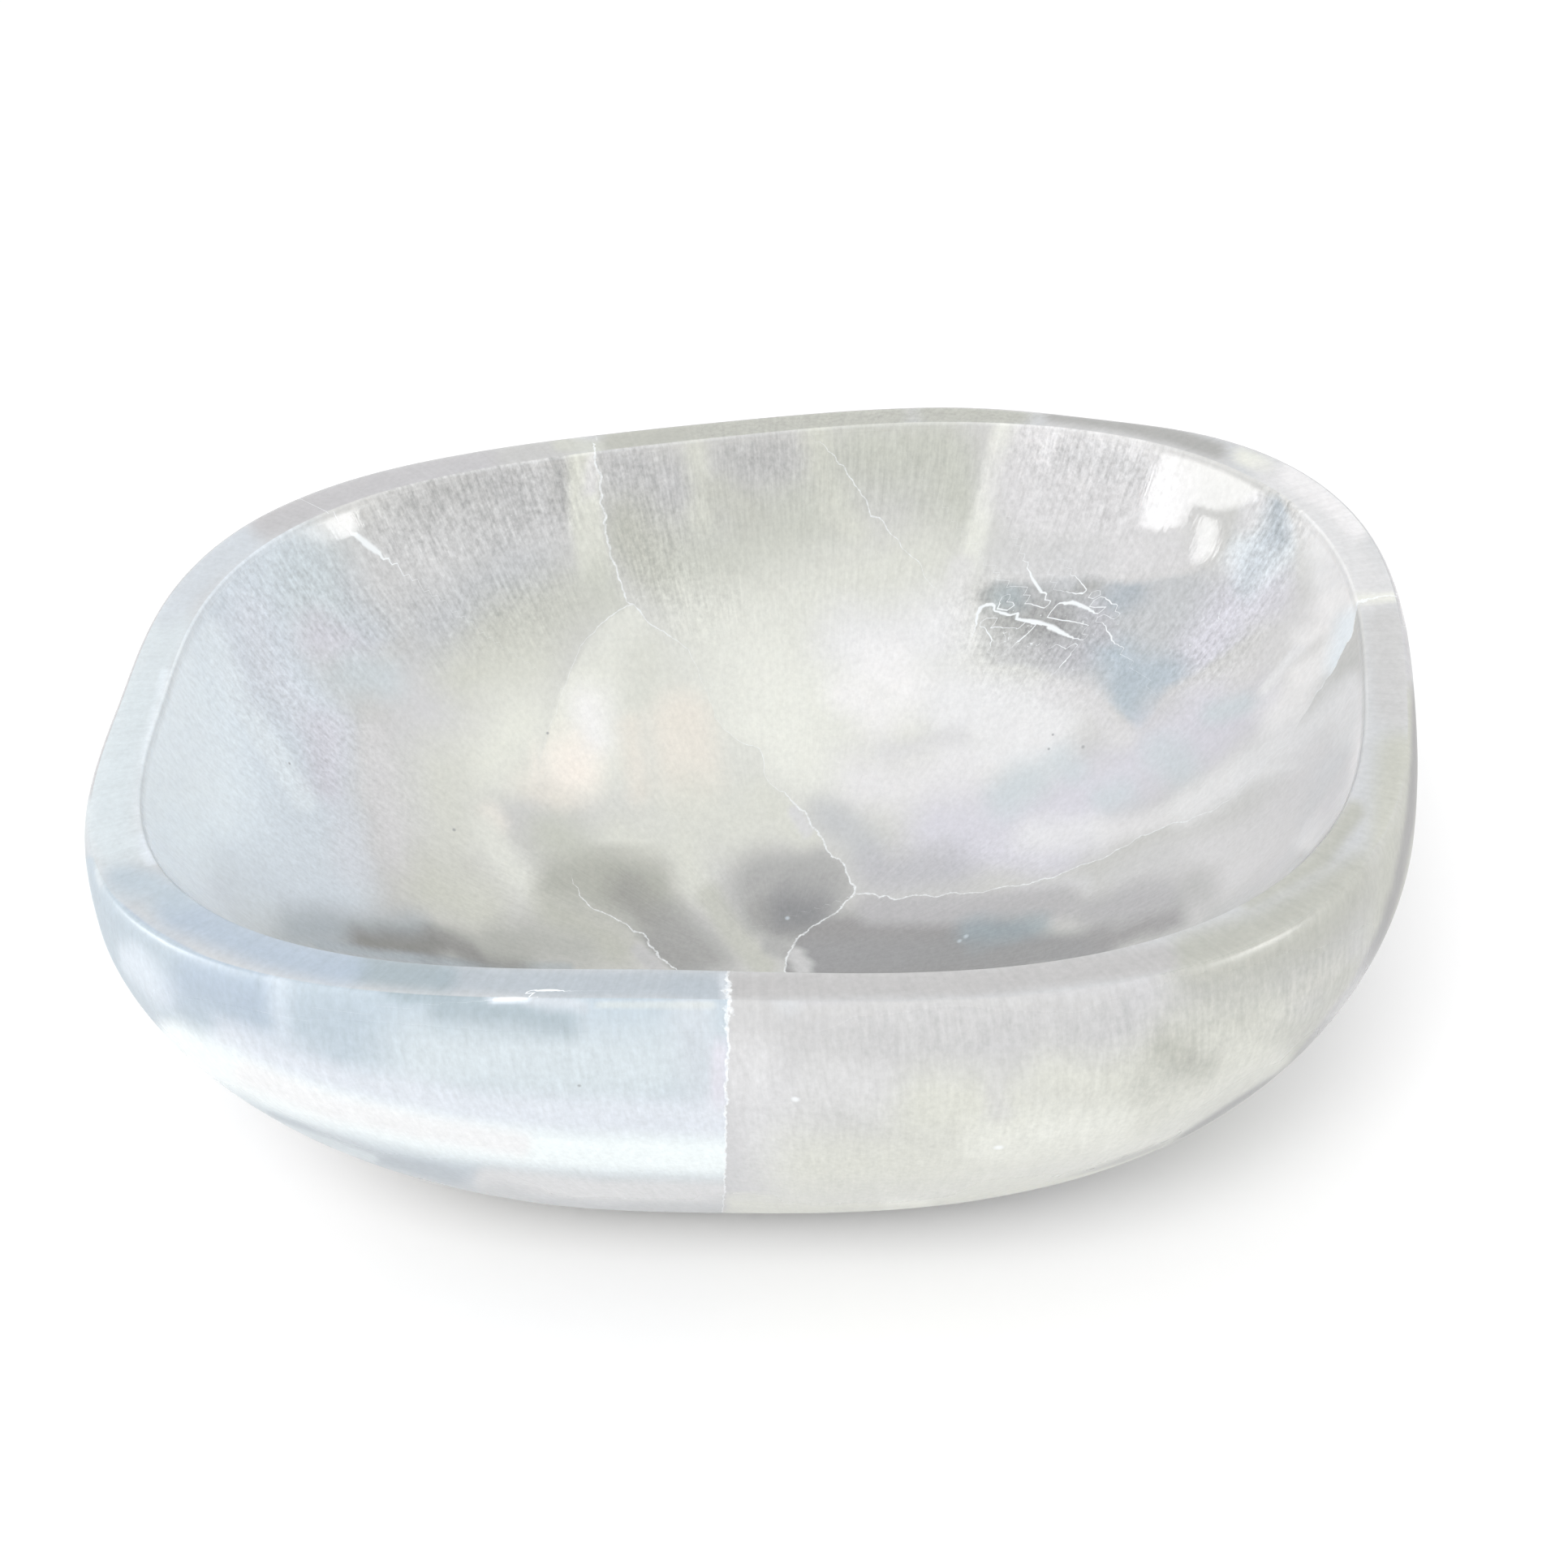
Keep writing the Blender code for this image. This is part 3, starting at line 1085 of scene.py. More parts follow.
INSIDE_MARKS = (
    Mark("hollow ground", Tone.TIN, ((960, 900),), 1200, strength=1.0, soft=0.3),
    Mark("left wall", Tone.FROST, ((200, 900), (260, 1000)), 150, strength=1.0, soft=0.5),
    Mark("left wall top", Tone.SKY, ((260, 760), (330, 700)), 60, soft=0.6),
    Mark("left wall pale", Tone.ICE, ((215, 830), (225, 990)), 60, strength=0.8, soft=0.7),
    Mark("left wall foot", Tone.FROST, ((230, 1040), (300, 1060)), 34),
    Mark("left blue fibres", Tone.RAIN, ((370, 710), (430, 740)), 52),
    Mark("left blue, low", Tone.SKY, ((330, 800), (350, 850)), 44),
    Mark("left wall low", Tone.SKY, ((300, 1085), (420, 1095)), 40),
    Mark("left middle", Tone.SKY, ((370, 900), (385, 1010)), 56),
    Mark("left edge of the grey", Tone.TIN, ((490, 790), (480, 900)), 34),
    Mark("grey left of the middle", Tone.CLOUD, ((530, 860), (500, 960), (480, 1040)), 46),
    Mark("grey slant", Tone.PEARL, ((455, 910), (480, 1000), (500, 1070)), 16, strength=0.7),
    Mark("light slant", Tone.ICE, ((262, 780), (300, 870), (375, 985)), 15, strength=0.7, soft=0.6),
    Mark("petals", Tone.BREEZE, ((300, 765), (325, 820)), 24, strength=0.8, soft=0.8),
    Mark("petals, middle", Tone.BREEZE, ((340, 855), (370, 885)), 24, strength=0.8, soft=0.8),
    Mark("petals, right", Tone.LILAC, ((390, 780), (440, 790)), 26, strength=0.8, soft=0.8),
    Mark("petals, low", Tone.LILAC, ((400, 910), (405, 965)), 26, strength=0.8),
    Mark("petals, foot", Tone.BREEZE, ((425, 1020), (430, 1060)), 26, strength=0.8),
    Mark("green cast", Tone.RAIN, ((435, 828), (475, 838)), 26, strength=0.8, soft=0.8),
    Mark("violet cast", Tone.LAKE, ((450, 730), (468, 775)), 20, strength=0.8, soft=0.8),
    Mark("back left grey", Tone.SILVER, ((500, 700), (560, 640), (650, 620)), 66, strength=1.0, soft=0.6),
    Mark("back left grey, low", Tone.ZINC, ((540, 770), (640, 720)), 45),
    Mark("dark fibres left", Tone.PEWTER, ((520, 615), (610, 600)), 34, strength=0.8, soft=0.8),
    Mark("dark fibres by the vein", Tone.PEWTER, ((688, 570), (690, 620)), 15, soft=0.6),
    Mark("dark fibres, middle", Tone.ASH, ((600, 575), (650, 640)), 22, soft=0.8),
    Mark("olive under the grey", Tone.HAY, ((620, 780), (700, 745)), 40, LEFT),
    Mark("olive slope", Tone.LINEN, ((580, 830), (650, 815)), 36, LEFT, soft=0.8),
    Mark("cream vein", Tone.OAT, ((719, 560), (722, 640), (733, 700)), 20, LEFT, strength=1.0, soft=0.35),
    Mark("cream vein, foot", Tone.BARLEY, ((738, 715), (750, 745)), 24, LEFT, strength=0.8, soft=0.8),
    Mark("cream vein, head", Tone.PEARL, ((733, 562), (731, 610)), 9, LEFT, strength=0.8),
    Mark("dark right of the vein", Tone.ASH, ((770, 560), (785, 600), (825, 600)), 36, BACK, soft=0.5),
    Mark("dark low right of the vein", Tone.MOSS, ((780, 660), (820, 700)), 36, BACK),
    Mark("light fibre strip", Tone.LINEN, ((853, 555), (858, 640)), 15, BACK, strength=0.8),
    Mark("olive back", Tone.BARLEY, ((870, 690), (930, 680), (1010, 640)), 46, BACK),
    Mark("violet fibres", Tone.PEWTER, ((915, 565), (965, 575)), 30, BACK),
    Mark("light by the thin vein", Tone.LINEN, ((1010, 530), (1030, 600), (1060, 650)), 16, BACK),
    Mark("olive back top", Tone.BARLEY, ((1070, 560), (1150, 570), (1180, 620)), 46, BACK),
    Mark("cream by the fibres", Tone.HAY, ((880, 612), (925, 640)), 20, BACK, soft=0.8),
    Mark("olive back low", Tone.OAT, ((870, 760), (1000, 720), (1140, 690)), 40, BACK, soft=0.8),
    Mark(
        "light back vein", Tone.MILK, ((1240, 520), (1222, 590), (1208, 640), (1196, 700)), 13, BACK,
        soft=0.35,
    ),
    Mark("light back vein, foot", Tone.PEARL, ((1185, 700), (1175, 760)), 16, BACK, soft=0.6),
    Mark("grey fibres", Tone.PEARL, ((1280, 600), (1400, 610)), 66, BACK, strength=0.95, soft=0.5),
    Mark("grey fibres, head", Tone.VAPOUR, ((1270, 530), (1340, 545), (1400, 560)), 20, BACK, strength=0.8),
    Mark("dark fibres right", Tone.CLOUD, ((1330, 560), (1400, 580)), 22, BACK, strength=0.8, soft=0.8),
    Mark("grey under the fibres", Tone.CLOUD, ((1240, 700), (1340, 700)), 32, BACK),
    Mark("grey under the window", Tone.PEARL, ((1390, 690), (1450, 685)), 30, BACK),
    Mark("pane", Tone.ZINC, ((1250, 770), (1450, 780)), 80, PANE, strength=1.0, soft=0.3),
    Mark("pane, left end", Tone.EMBER, ((1215, 745), (1225, 790)), 26, PANE, soft=0.5),
    Mark("pane, dark", Tone.IRON, ((1250, 745), (1300, 770)), 34, PANE),
    Mark("pane, dark core", Tone.EMBER, ((1245, 765), (1280, 790)), 20, PANE, soft=0.8),
    Mark("pane, dark foot", Tone.VIOLET, ((1230, 800), (1330, 815)), 20, PANE, soft=0.8),
    Mark("pane, dark head", Tone.FLINT, ((1335, 722), (1350, 722)), 10, PANE),
    Mark("pane, middle", Tone.ZINC, ((1380, 760), (1450, 740)), 34, PANE),
    Mark("pane, right", Tone.LILAC, ((1480, 790), (1530, 730), (1570, 740)), 34, PANE),
    Mark("pane, horn", Tone.ICE, ((1545, 690), (1570, 640)), 32, PANE),
    Mark("pane, horn dark", Tone.SEA, ((1567, 620), (1562, 670)), 13, PANE, strength=0.8),
    Mark("pane, horn head", Tone.PEARL, ((1540, 615), (1530, 650)), 16, PANE, strength=0.8),
    Mark("pane, teal", Tone.STEEL, ((1370, 815), (1440, 830)), 26, PANE, strength=0.8),
    Mark("pane, teal foot", Tone.STEEL, ((1385, 855), (1400, 880)), 24, PANE, strength=0.8),
    Mark("pane, teal head", Tone.SEA, ((1370, 740), (1392, 725)), 16, PANE, strength=0.8, soft=0.8),
    Mark("pane, teal strip", Tone.VIOLET, ((1348, 750), (1356, 790)), 14, PANE, strength=0.8, soft=0.8),
    Mark("pane, green", Tone.TIDE, ((1232, 735), (1245, 728)), 14, PANE, strength=0.8, soft=0.8),
    Mark("pane, teal horn", Tone.LAKE, ((1530, 718), (1548, 690)), 15, PANE, strength=0.8, soft=0.8),
    Mark("right wall head", Tone.CHALK, ((1610, 650), (1650, 720)), 28, BACK),
    Mark("right wall", Tone.PEARL, ((1610, 760), (1540, 830), (1490, 860)), 32, BACK),
    Mark("right heather", Tone.LILAC, ((1480, 890), (1400, 950), (1330, 980)), 44, BACK),
    Mark("right heather, up", Tone.LILAC, ((1560, 870), (1490, 920)), 26, BACK, strength=0.8, soft=0.8),
    Mark("right teal", Tone.RAIN, ((1490, 885), (1530, 870)), 14, BACK, strength=0.8, soft=0.8),
    # Painted highlights: pale arcs on the right wall of the hollow stand in for streaks of light reflected
    # in it.
    Mark("light arc, outer", Tone.SNOW, ((1676, 780), (1640, 806), (1605, 832)), 15, BACK, soft=0.6),
    Mark("light arc, inner", Tone.SNOW, ((1650, 742), (1640, 778), (1610, 790)), 15, BACK, soft=0.8),
    Mark("light arc, notch", Tone.SNOW, ((1668, 745), (1673, 778)), 11, BACK, strength=1.0, soft=0.5),
    Mark("light arc, head", Tone.ICE, ((1668, 772), (1655, 822)), 22, BACK, soft=0.6),
    Mark("light arc, tail", Tone.SNOW, ((1605, 850), (1580, 885)), 28, BACK, strength=0.8),
    Mark("light arc, line", Tone.CHALK, ((1602, 797), (1578, 824), (1556, 852)), 6, BACK, soft=0.5),
    Mark("light arc, low line", Tone.PEARL, ((1592, 893), (1560, 930), (1510, 975)), 7, BACK, soft=0.6),
    Mark("grey arc", Tone.CHALK, ((1655, 850), (1620, 890), (1540, 950), (1460, 1000)), 20),
    Mark("violet wall", Tone.CHALK, ((1600, 935), (1640, 940)), 24, strength=0.8, soft=0.8),
    Mark("below the shelf", Tone.PEARL, ((1640, 950), (1560, 1040), (1440, 1090)), 42, FRONT, soft=0.6),
    Mark("below the shelf, low", Tone.PEWTER, ((1480, 1095), (1360, 1120)), 26, FRONT),
    Mark("below the shelf, end", Tone.SILVER, ((1430, 1060), (1380, 1085)), 20, FRONT),
    Mark("right wall, front end", Tone.CHALK, ((1665, 850), (1660, 900)), 20, FRONT),
    Mark("light by the right rim", Tone.SNOW, ((1676, 900), (1662, 970), (1610, 1040)), 10, FRONT),
    Mark("floor ground", Tone.IVORY, ((850, 880), (1100, 840)), 130, soft=0.8),
    Mark("floor back slope", Tone.IVORY, ((880, 790), (1000, 760)), 40, strength=0.8, soft=0.8),
    Mark("arch, inside", Tone.IVORY, ((775, 770), (735, 820)), 34, ARCH),
    Mark("arch, green shade", Tone.OAT, ((790, 810), (800, 850)), 26, ARCH, strength=0.8, soft=0.8),
    # Painted glow: the bright patch on the floor stands in for light that passes up through the stone
    # there.
    Mark("arch, glow", Tone.CREAM, ((715, 870), (725, 920)), 46, ARCH, strength=1.0),
    Mark("arch, glow core", Tone.SNOW, ((725, 865), (735, 905)), 28, ARCH, strength=0.8, soft=0.9),
    Mark("arch, blush", Tone.BLUSH, ((692, 920), (715, 945)), 30, ARCH),
    Mark("amber edge", Tone.ROSE, ((645, 955), (700, 985)), 18, LEFT, strength=0.7, soft=0.8),
    Mark("amber edge, up", Tone.BLUSH, ((660, 915), (662, 945)), 9, LEFT, strength=0.7, soft=0.8),
    Mark("rose", Tone.ROSE, ((840, 890), (850, 960)), 38, LEFT, soft=0.6),
    Mark("rose, left", Tone.ROSE, ((785, 890), (795, 975)), 16, LEFT, strength=0.7, soft=0.8),
    Mark("small rose", Tone.BLUSH, ((605, 1000), (612, 1015)), 14, LEFT, strength=0.7, soft=0.8),
    Mark("floor middle", Tone.MILK, ((940, 830), (1000, 860)), 50, BACK, strength=0.8, soft=0.9),
    Mark("pale cloud", Tone.CHALK, ((1060, 790), (1150, 780)), 44, BACK, soft=0.8),
    Mark("white cloud", Tone.SNOW, ((1085, 820), (1120, 850)), 30, BACK, soft=0.8),
    Mark("cream in the cloud", Tone.SNOW, ((1045, 860), (1080, 880)), 24, BACK, strength=0.8, soft=0.8),
    Mark("pale floor right", Tone.CHALK, ((1180, 870), (1290, 885)), 44, BACK, soft=0.6),
    Mark("pale floor edge", Tone.PEARL, ((1290, 850), (1350, 870), (1390, 905)), 15, BACK, soft=0.8),
    Mark("pale floor tail", Tone.CHALK, ((1180, 935), (1290, 925)), 24, BACK, soft=0.8),
    Mark("lens mark", Tone.CLOUD, ((1095, 915), (1185, 909)), 12, BACK, strength=0.7, soft=0.8),
    Mark("floor right of the crack", Tone.VAPOUR, ((1060, 955), (1180, 960)), 36, BACK, soft=0.8),
    Mark("cream floor", Tone.MILK, ((940, 890), (990, 940)), 40, BACK),
    Mark("lilac floor", Tone.LILAC, ((1150, 1020), (1330, 1010)), 40, BACK),
    Mark("lilac floor, dark", Tone.ZINC, ((1025, 1005), (1060, 1045)), 24, BACK),
    Mark("lilac deep", Tone.LILAC, ((1190, 1050), (1300, 1060)), 24, BACK, strength=0.8, soft=0.8),
    Mark("lilac over the crack", Tone.VAPOUR, ((1365, 1022), (1430, 1008)), 16, BACK, soft=0.8),
    Mark("lilac under the crack", Tone.CLOUD, ((1262, 1100), (1335, 1088)), 13, FRONT, soft=0.8),
    Mark("teal floor", Tone.RAIN, ((1235, 985), (1275, 955)), 24, BACK, strength=0.8, soft=0.8),
    Mark("teal floor, right", Tone.RAIN, ((1435, 925), (1460, 945)), 20, BACK, strength=0.7, soft=0.8),
    Mark("green floor", Tone.RAIN, ((1310, 930), (1330, 945)), 18, BACK, strength=0.7, soft=0.8),
    Mark("green floor, low", Tone.RAIN, ((1370, 980), (1390, 970)), 18, BACK, strength=0.7, soft=0.8),
    Mark("pale low floor", Tone.CHALK, ((1270, 1035), (1350, 1025)), 20, BACK, strength=0.7, soft=0.9),
    Mark("grey by the crack", Tone.VIOLET, ((1080, 1070), (1180, 1072)), 26, BACK, strength=0.8, soft=0.8),
    # Painted shade: the dark band inside the front rim, with its greyer strips, deepens the shade of the
    # hollow's front part, which faces away from the lamps.
    Mark("front dark ground", Tone.LEAD, ((990, 1170), (1230, 1168)), 46, FRONT, strength=1.0, soft=0.4),
    Mark("front grey strip", Tone.STONE, ((1075, 1120), (1200, 1120), (1310, 1112)), 20, FRONT, soft=0.6),
    Mark(
        "front dark band", Tone.IRON, ((1000, 1180), (1150, 1178), (1280, 1170), (1352, 1172)), 22, FRONT,
        strength=1.0, soft=0.6,
    ),
    Mark("front dark right", Tone.LEAD, ((1360, 1150), (1440, 1132)), 20, FRONT, soft=0.9),
    Mark("front grey right", Tone.STONE, ((1340, 1122), (1430, 1104)), 16, FRONT, soft=0.9),
    Mark("navy cast", Tone.TIDE, ((1200, 1150), (1280, 1145)), 15, FRONT, strength=0.7, soft=0.8),
    Mark("middle floor", Tone.OAT, ((850, 1000), (910, 1020)), 42, LEFT, strength=0.8, soft=0.8),
    Mark("left floor", Tone.CREAM, ((600, 930), (640, 890)), 46, LEFT, soft=0.8),
    Mark("left floor olive", Tone.OAT, ((540, 950), (560, 1020)), 40, LEFT, soft=0.8),
    Mark("olive streak", Tone.LINEN, ((540, 1090), (600, 1120)), 36, LEFT, soft=0.8),
    Mark("cream tongue", Tone.IVORY, ((600, 1030), (630, 1075), (680, 1110)), 20, LEFT, soft=0.8),
    Mark("olive tongue", Tone.MOSS, ((690, 1130), (760, 1170)), 26, LEFT, soft=0.8),
    Mark("smoke left", Tone.BARLEY, ((690, 1040), (715, 1062)), 32, LEFT, strength=0.95, soft=0.8),
    Mark("smoke left, low", Tone.FERN, ((690, 1088), (750, 1108)), 22, LEFT, soft=0.9),
    Mark("smoke head", Tone.OAT, ((760, 1030), (800, 1050)), 28, LEFT, soft=0.8),
    Mark("smoke", Tone.FERN, ((755, 1085), (810, 1100)), 40, SMOKE, strength=0.95, soft=0.7),
    Mark("smoke core", Tone.LICHEN, ((775, 1105), (805, 1135)), 24, SMOKE, strength=0.8, soft=0.8),
    Mark("smoke foot", Tone.SMOKE, ((830, 1150), (870, 1180)), 28, SMOKE, soft=0.7),
    Mark("smoke foot, low", Tone.SMOKE, ((806, 1168), (850, 1194)), 20, SMOKE, strength=1.0, soft=0.5),
    Mark("light between the smokes", Tone.OAT, ((845, 1045), (865, 1090)), 20, LEFT, soft=0.8),
    Mark("light tongue", Tone.HAY, ((875, 1105), (905, 1150), (940, 1190)), 16, LEFT, soft=0.6),
    Mark("dark by the crack", Tone.FLINT, ((945, 1095), (1010, 1090)), 46, LEFT, strength=1.0, soft=0.55),
    Mark("dark by the crack, foot", Tone.SMOKE, ((940, 1130), (990, 1140)), 22, LEFT, soft=0.6),
    Mark("dark by the crack, core", Tone.EMBER, ((975, 1120), (1000, 1125)), 24, LEFT, soft=0.8),
    Mark("light left of the crack", Tone.OAT, ((940, 990), (985, 1025)), 22, LEFT),
    Mark("white of the crack", Tone.CLOUD, ((980, 1000), (994, 1022)), 9, LEFT, soft=0.4),
    Mark("grey foot of the crack", Tone.FLINT, ((950, 1165), (968, 1172)), 12, LEFT, soft=0.5),
    # Painted shade: the dark wedge inside the front-left rim, fading in from the left and running thin
    # along the rim, is shade painted into the stone.
    Mark("front left veil", Tone.RAIN, ((310, 1126), (365, 1146)), 26, LEFT, strength=0.4, soft=0.9),
    Mark("front left shade", Tone.SEA, ((372, 1140), (430, 1152), (500, 1158)), 28, LEFT, soft=0.9),
    Mark("front left dark", Tone.SOOT, ((440, 1158), (520, 1172)), 20, LEFT, strength=1.0, soft=0.9),
    Mark(
        "front shade line", Tone.SEA, ((395, 1164), (460, 1177), (600, 1190), (700, 1193)), 7, LEFT,
        soft=0.6,
    ),
    Mark("front olive, dark", Tone.SOOT, ((530, 1165), (650, 1180)), 16, LEFT, soft=0.9),
    Mark("front olive", Tone.SAGE, ((620, 1155), (720, 1175)), 18, LEFT, soft=0.8),
    Mark("front pale chip", Tone.ASH, ((788, 1172), (808, 1190)), 9, LEFT, soft=0.4),
    Mark("pale wedge at the seam", Tone.SILVER, ((980, 1178), (990, 1192)), 11, FRONT, soft=0.4),
    Mark(
        "hidden front wall", Tone.ZINC, ((300, 1230), (900, 1290), (1500, 1250)), 40, strength=0.8,
        soft=0.5,
    ),
    Mark("hidden wall, pale", Tone.PEARL, ((430, 1250), (560, 1275)), 44, LEFT, soft=0.8),
    Mark("hidden wall, olive", Tone.TIN, ((690, 1270), (800, 1290)), 48, LEFT, soft=0.8),
    Mark("hidden wall, smoke", Tone.ZINC, ((860, 1240), (880, 1290)), 30, LEFT, soft=0.8),
    Mark("hidden wall, violet", Tone.LILAC, ((1080, 1290), (1230, 1280)), 50, FRONT, soft=0.8),
    Mark("hidden wall, far", Tone.HAY, ((1380, 1250), (1450, 1240)), 40, FRONT, soft=0.8),
)

FACETS = (
    Facet(
        Block.ARCH, 3.0,
        (
            (778, 742), (764, 754), (750, 762), (736, 776), (722, 790), (713, 808), (703, 826), (692, 850),
            (684, 874), (676, 900), (666, 930), (664, 960), (690, 1000), (900, 1000), (960, 980),
            (880, 850),
        ),
    ),
    Facet(
        Block.SMOKE, 4.0,
        (
            (700, 1075), (716, 1100), (735, 1120), (752, 1132), (775, 1150), (792, 1160), (801, 1174),
            (815, 1184), (835, 1199), (850, 1240), (980, 1240), (960, 1100), (940, 1040), (700, 1040),
        ),
    ),
    Facet(
        Block.PANE, 5.0,
        (
            (1204, 728), (1226, 716), (1262, 718), (1300, 713), (1340, 711), (1382, 719), (1420, 716),
            (1470, 705), (1500, 692), (1515, 655), (1526, 620), (1552, 604), (1582, 618), (1596, 650),
            (1600, 700), (1602, 740), (1596, 772), (1560, 775), (1530, 790), (1500, 812), (1472, 832),
            (1440, 845), (1428, 868), (1404, 900), (1370, 872), (1330, 846), (1300, 834), (1268, 821),
            (1214, 818), (1206, 795), (1210, 762),
        ),
    ),
)

GRAIN_MARKS = {
    Side.OUTSIDE: (
        Mark("wall", Grain.SILKY, ((960, 1300),), 1500, strength=1.0),
        Mark(
            "worn shoulder", Grain.WORN,
            (
                (105, 1000), (112, 1120), (190, 1190), (330, 1220), (600, 1240), (1000, 1243), (1400, 1232),
                (1600, 1180), (1700, 1080), (1745, 950), (1730, 800),
            ),
            32, soft=0.64,
        ),
        Mark(
            "dull edge", Grain.WORN,
            (
                (108, 1050), (135, 1165), (200, 1285), (330, 1375), (480, 1430), (700, 1484), (900, 1496),
                (1100, 1492), (1300, 1463), (1450, 1410), (1590, 1318), (1670, 1215), (1705, 1145),
                (1738, 1010), (1745, 850),
            ),
            16,
        ),
        Mark("smudge fibres", Grain.BRUSHED, ((1410, 1280), (1640, 1210)), 50),
        Mark("upper front fibres", Grain.BRUSHED, ((1060, 1270), (1380, 1260)), 26, strength=0.5),
        Mark("band", Grain.CLEAR, ((250, 1305), (480, 1390), (890, 1425)), 22, LEFT),
    ),
    Side.RIM: (
        Mark("rim", Grain.WORN, ((960, 900),), 1500, strength=1.0),
        Mark("back rim", Grain.FROSTED, ((880, 530), (1250, 510)), 24),
    ),
    Side.INSIDE: (
        Mark("hollow", Grain.CLEAR, ((960, 900),), 1500, strength=1.0),
        Mark("left wall", Grain.FROSTED, ((330, 720), (340, 850), (420, 1000)), 84),
        Mark("petals", Grain.CRAZED, ((310, 740), (350, 850), (400, 930)), 40, strength=0.5),
        Mark("blue fibres", Grain.WOVEN, ((380, 720), (450, 760)), 50),
        Mark("back left wall", Grain.FELTED, ((510, 640), (680, 600)), 62, soft=0.5),
        Mark("back left slope", Grain.WOVEN, ((540, 740), (640, 720)), 60),
        Mark("cream vein", Grain.SILKY, ((719, 560), (728, 700)), 18, LEFT, strength=0.8, soft=0.4),
        Mark("right of the vein", Grain.FELTED, ((785, 590), (815, 620)), 48, BACK),
        Mark("low right of the vein", Grain.WOVEN, ((800, 690), (860, 730)), 44, BACK),
        Mark("back wall", Grain.BRUSHED, ((880, 600), (1180, 580)), 60, BACK),
        Mark("violet fibres", Grain.WOVEN, ((920, 565), (970, 575)), 30, BACK),
        Mark("back wall, low", Grain.SILKY, ((900, 730), (1140, 690)), 50, BACK, strength=0.6),
        Mark("grey fibres", Grain.FELTED, ((1290, 560), (1400, 580)), 44, BACK),
        Mark("grey fibres, low", Grain.WOVEN, ((1270, 640), (1380, 640)), 30, BACK, strength=0.6),
        Mark("pane", Grain.FROSTED, ((1350, 780), (1450, 780)), 90, PANE, strength=1.0),
        Mark("pane, left", Grain.CRAZED, ((1240, 770), (1320, 780)), 56, PANE, strength=1.0),
        Mark("pane, right", Grain.CRAZED, ((1480, 790), (1540, 720)), 40, PANE),
        Mark("pane, horn", Grain.FELTED, ((1555, 680), (1572, 630)), 34, PANE),
        Mark("floor by the crack", Grain.FROSTED, ((1100, 1060), (1250, 1060)), 30, BACK, strength=0.5),
        Mark("hidden front wall", Grain.BRUSHED, ((300, 1240), (900, 1290), (1500, 1250)), 60),
        Mark("front floor", Grain.SILKY, ((560, 1100), (1000, 1130), (1400, 1120)), 50, strength=0.8),
    ),
}

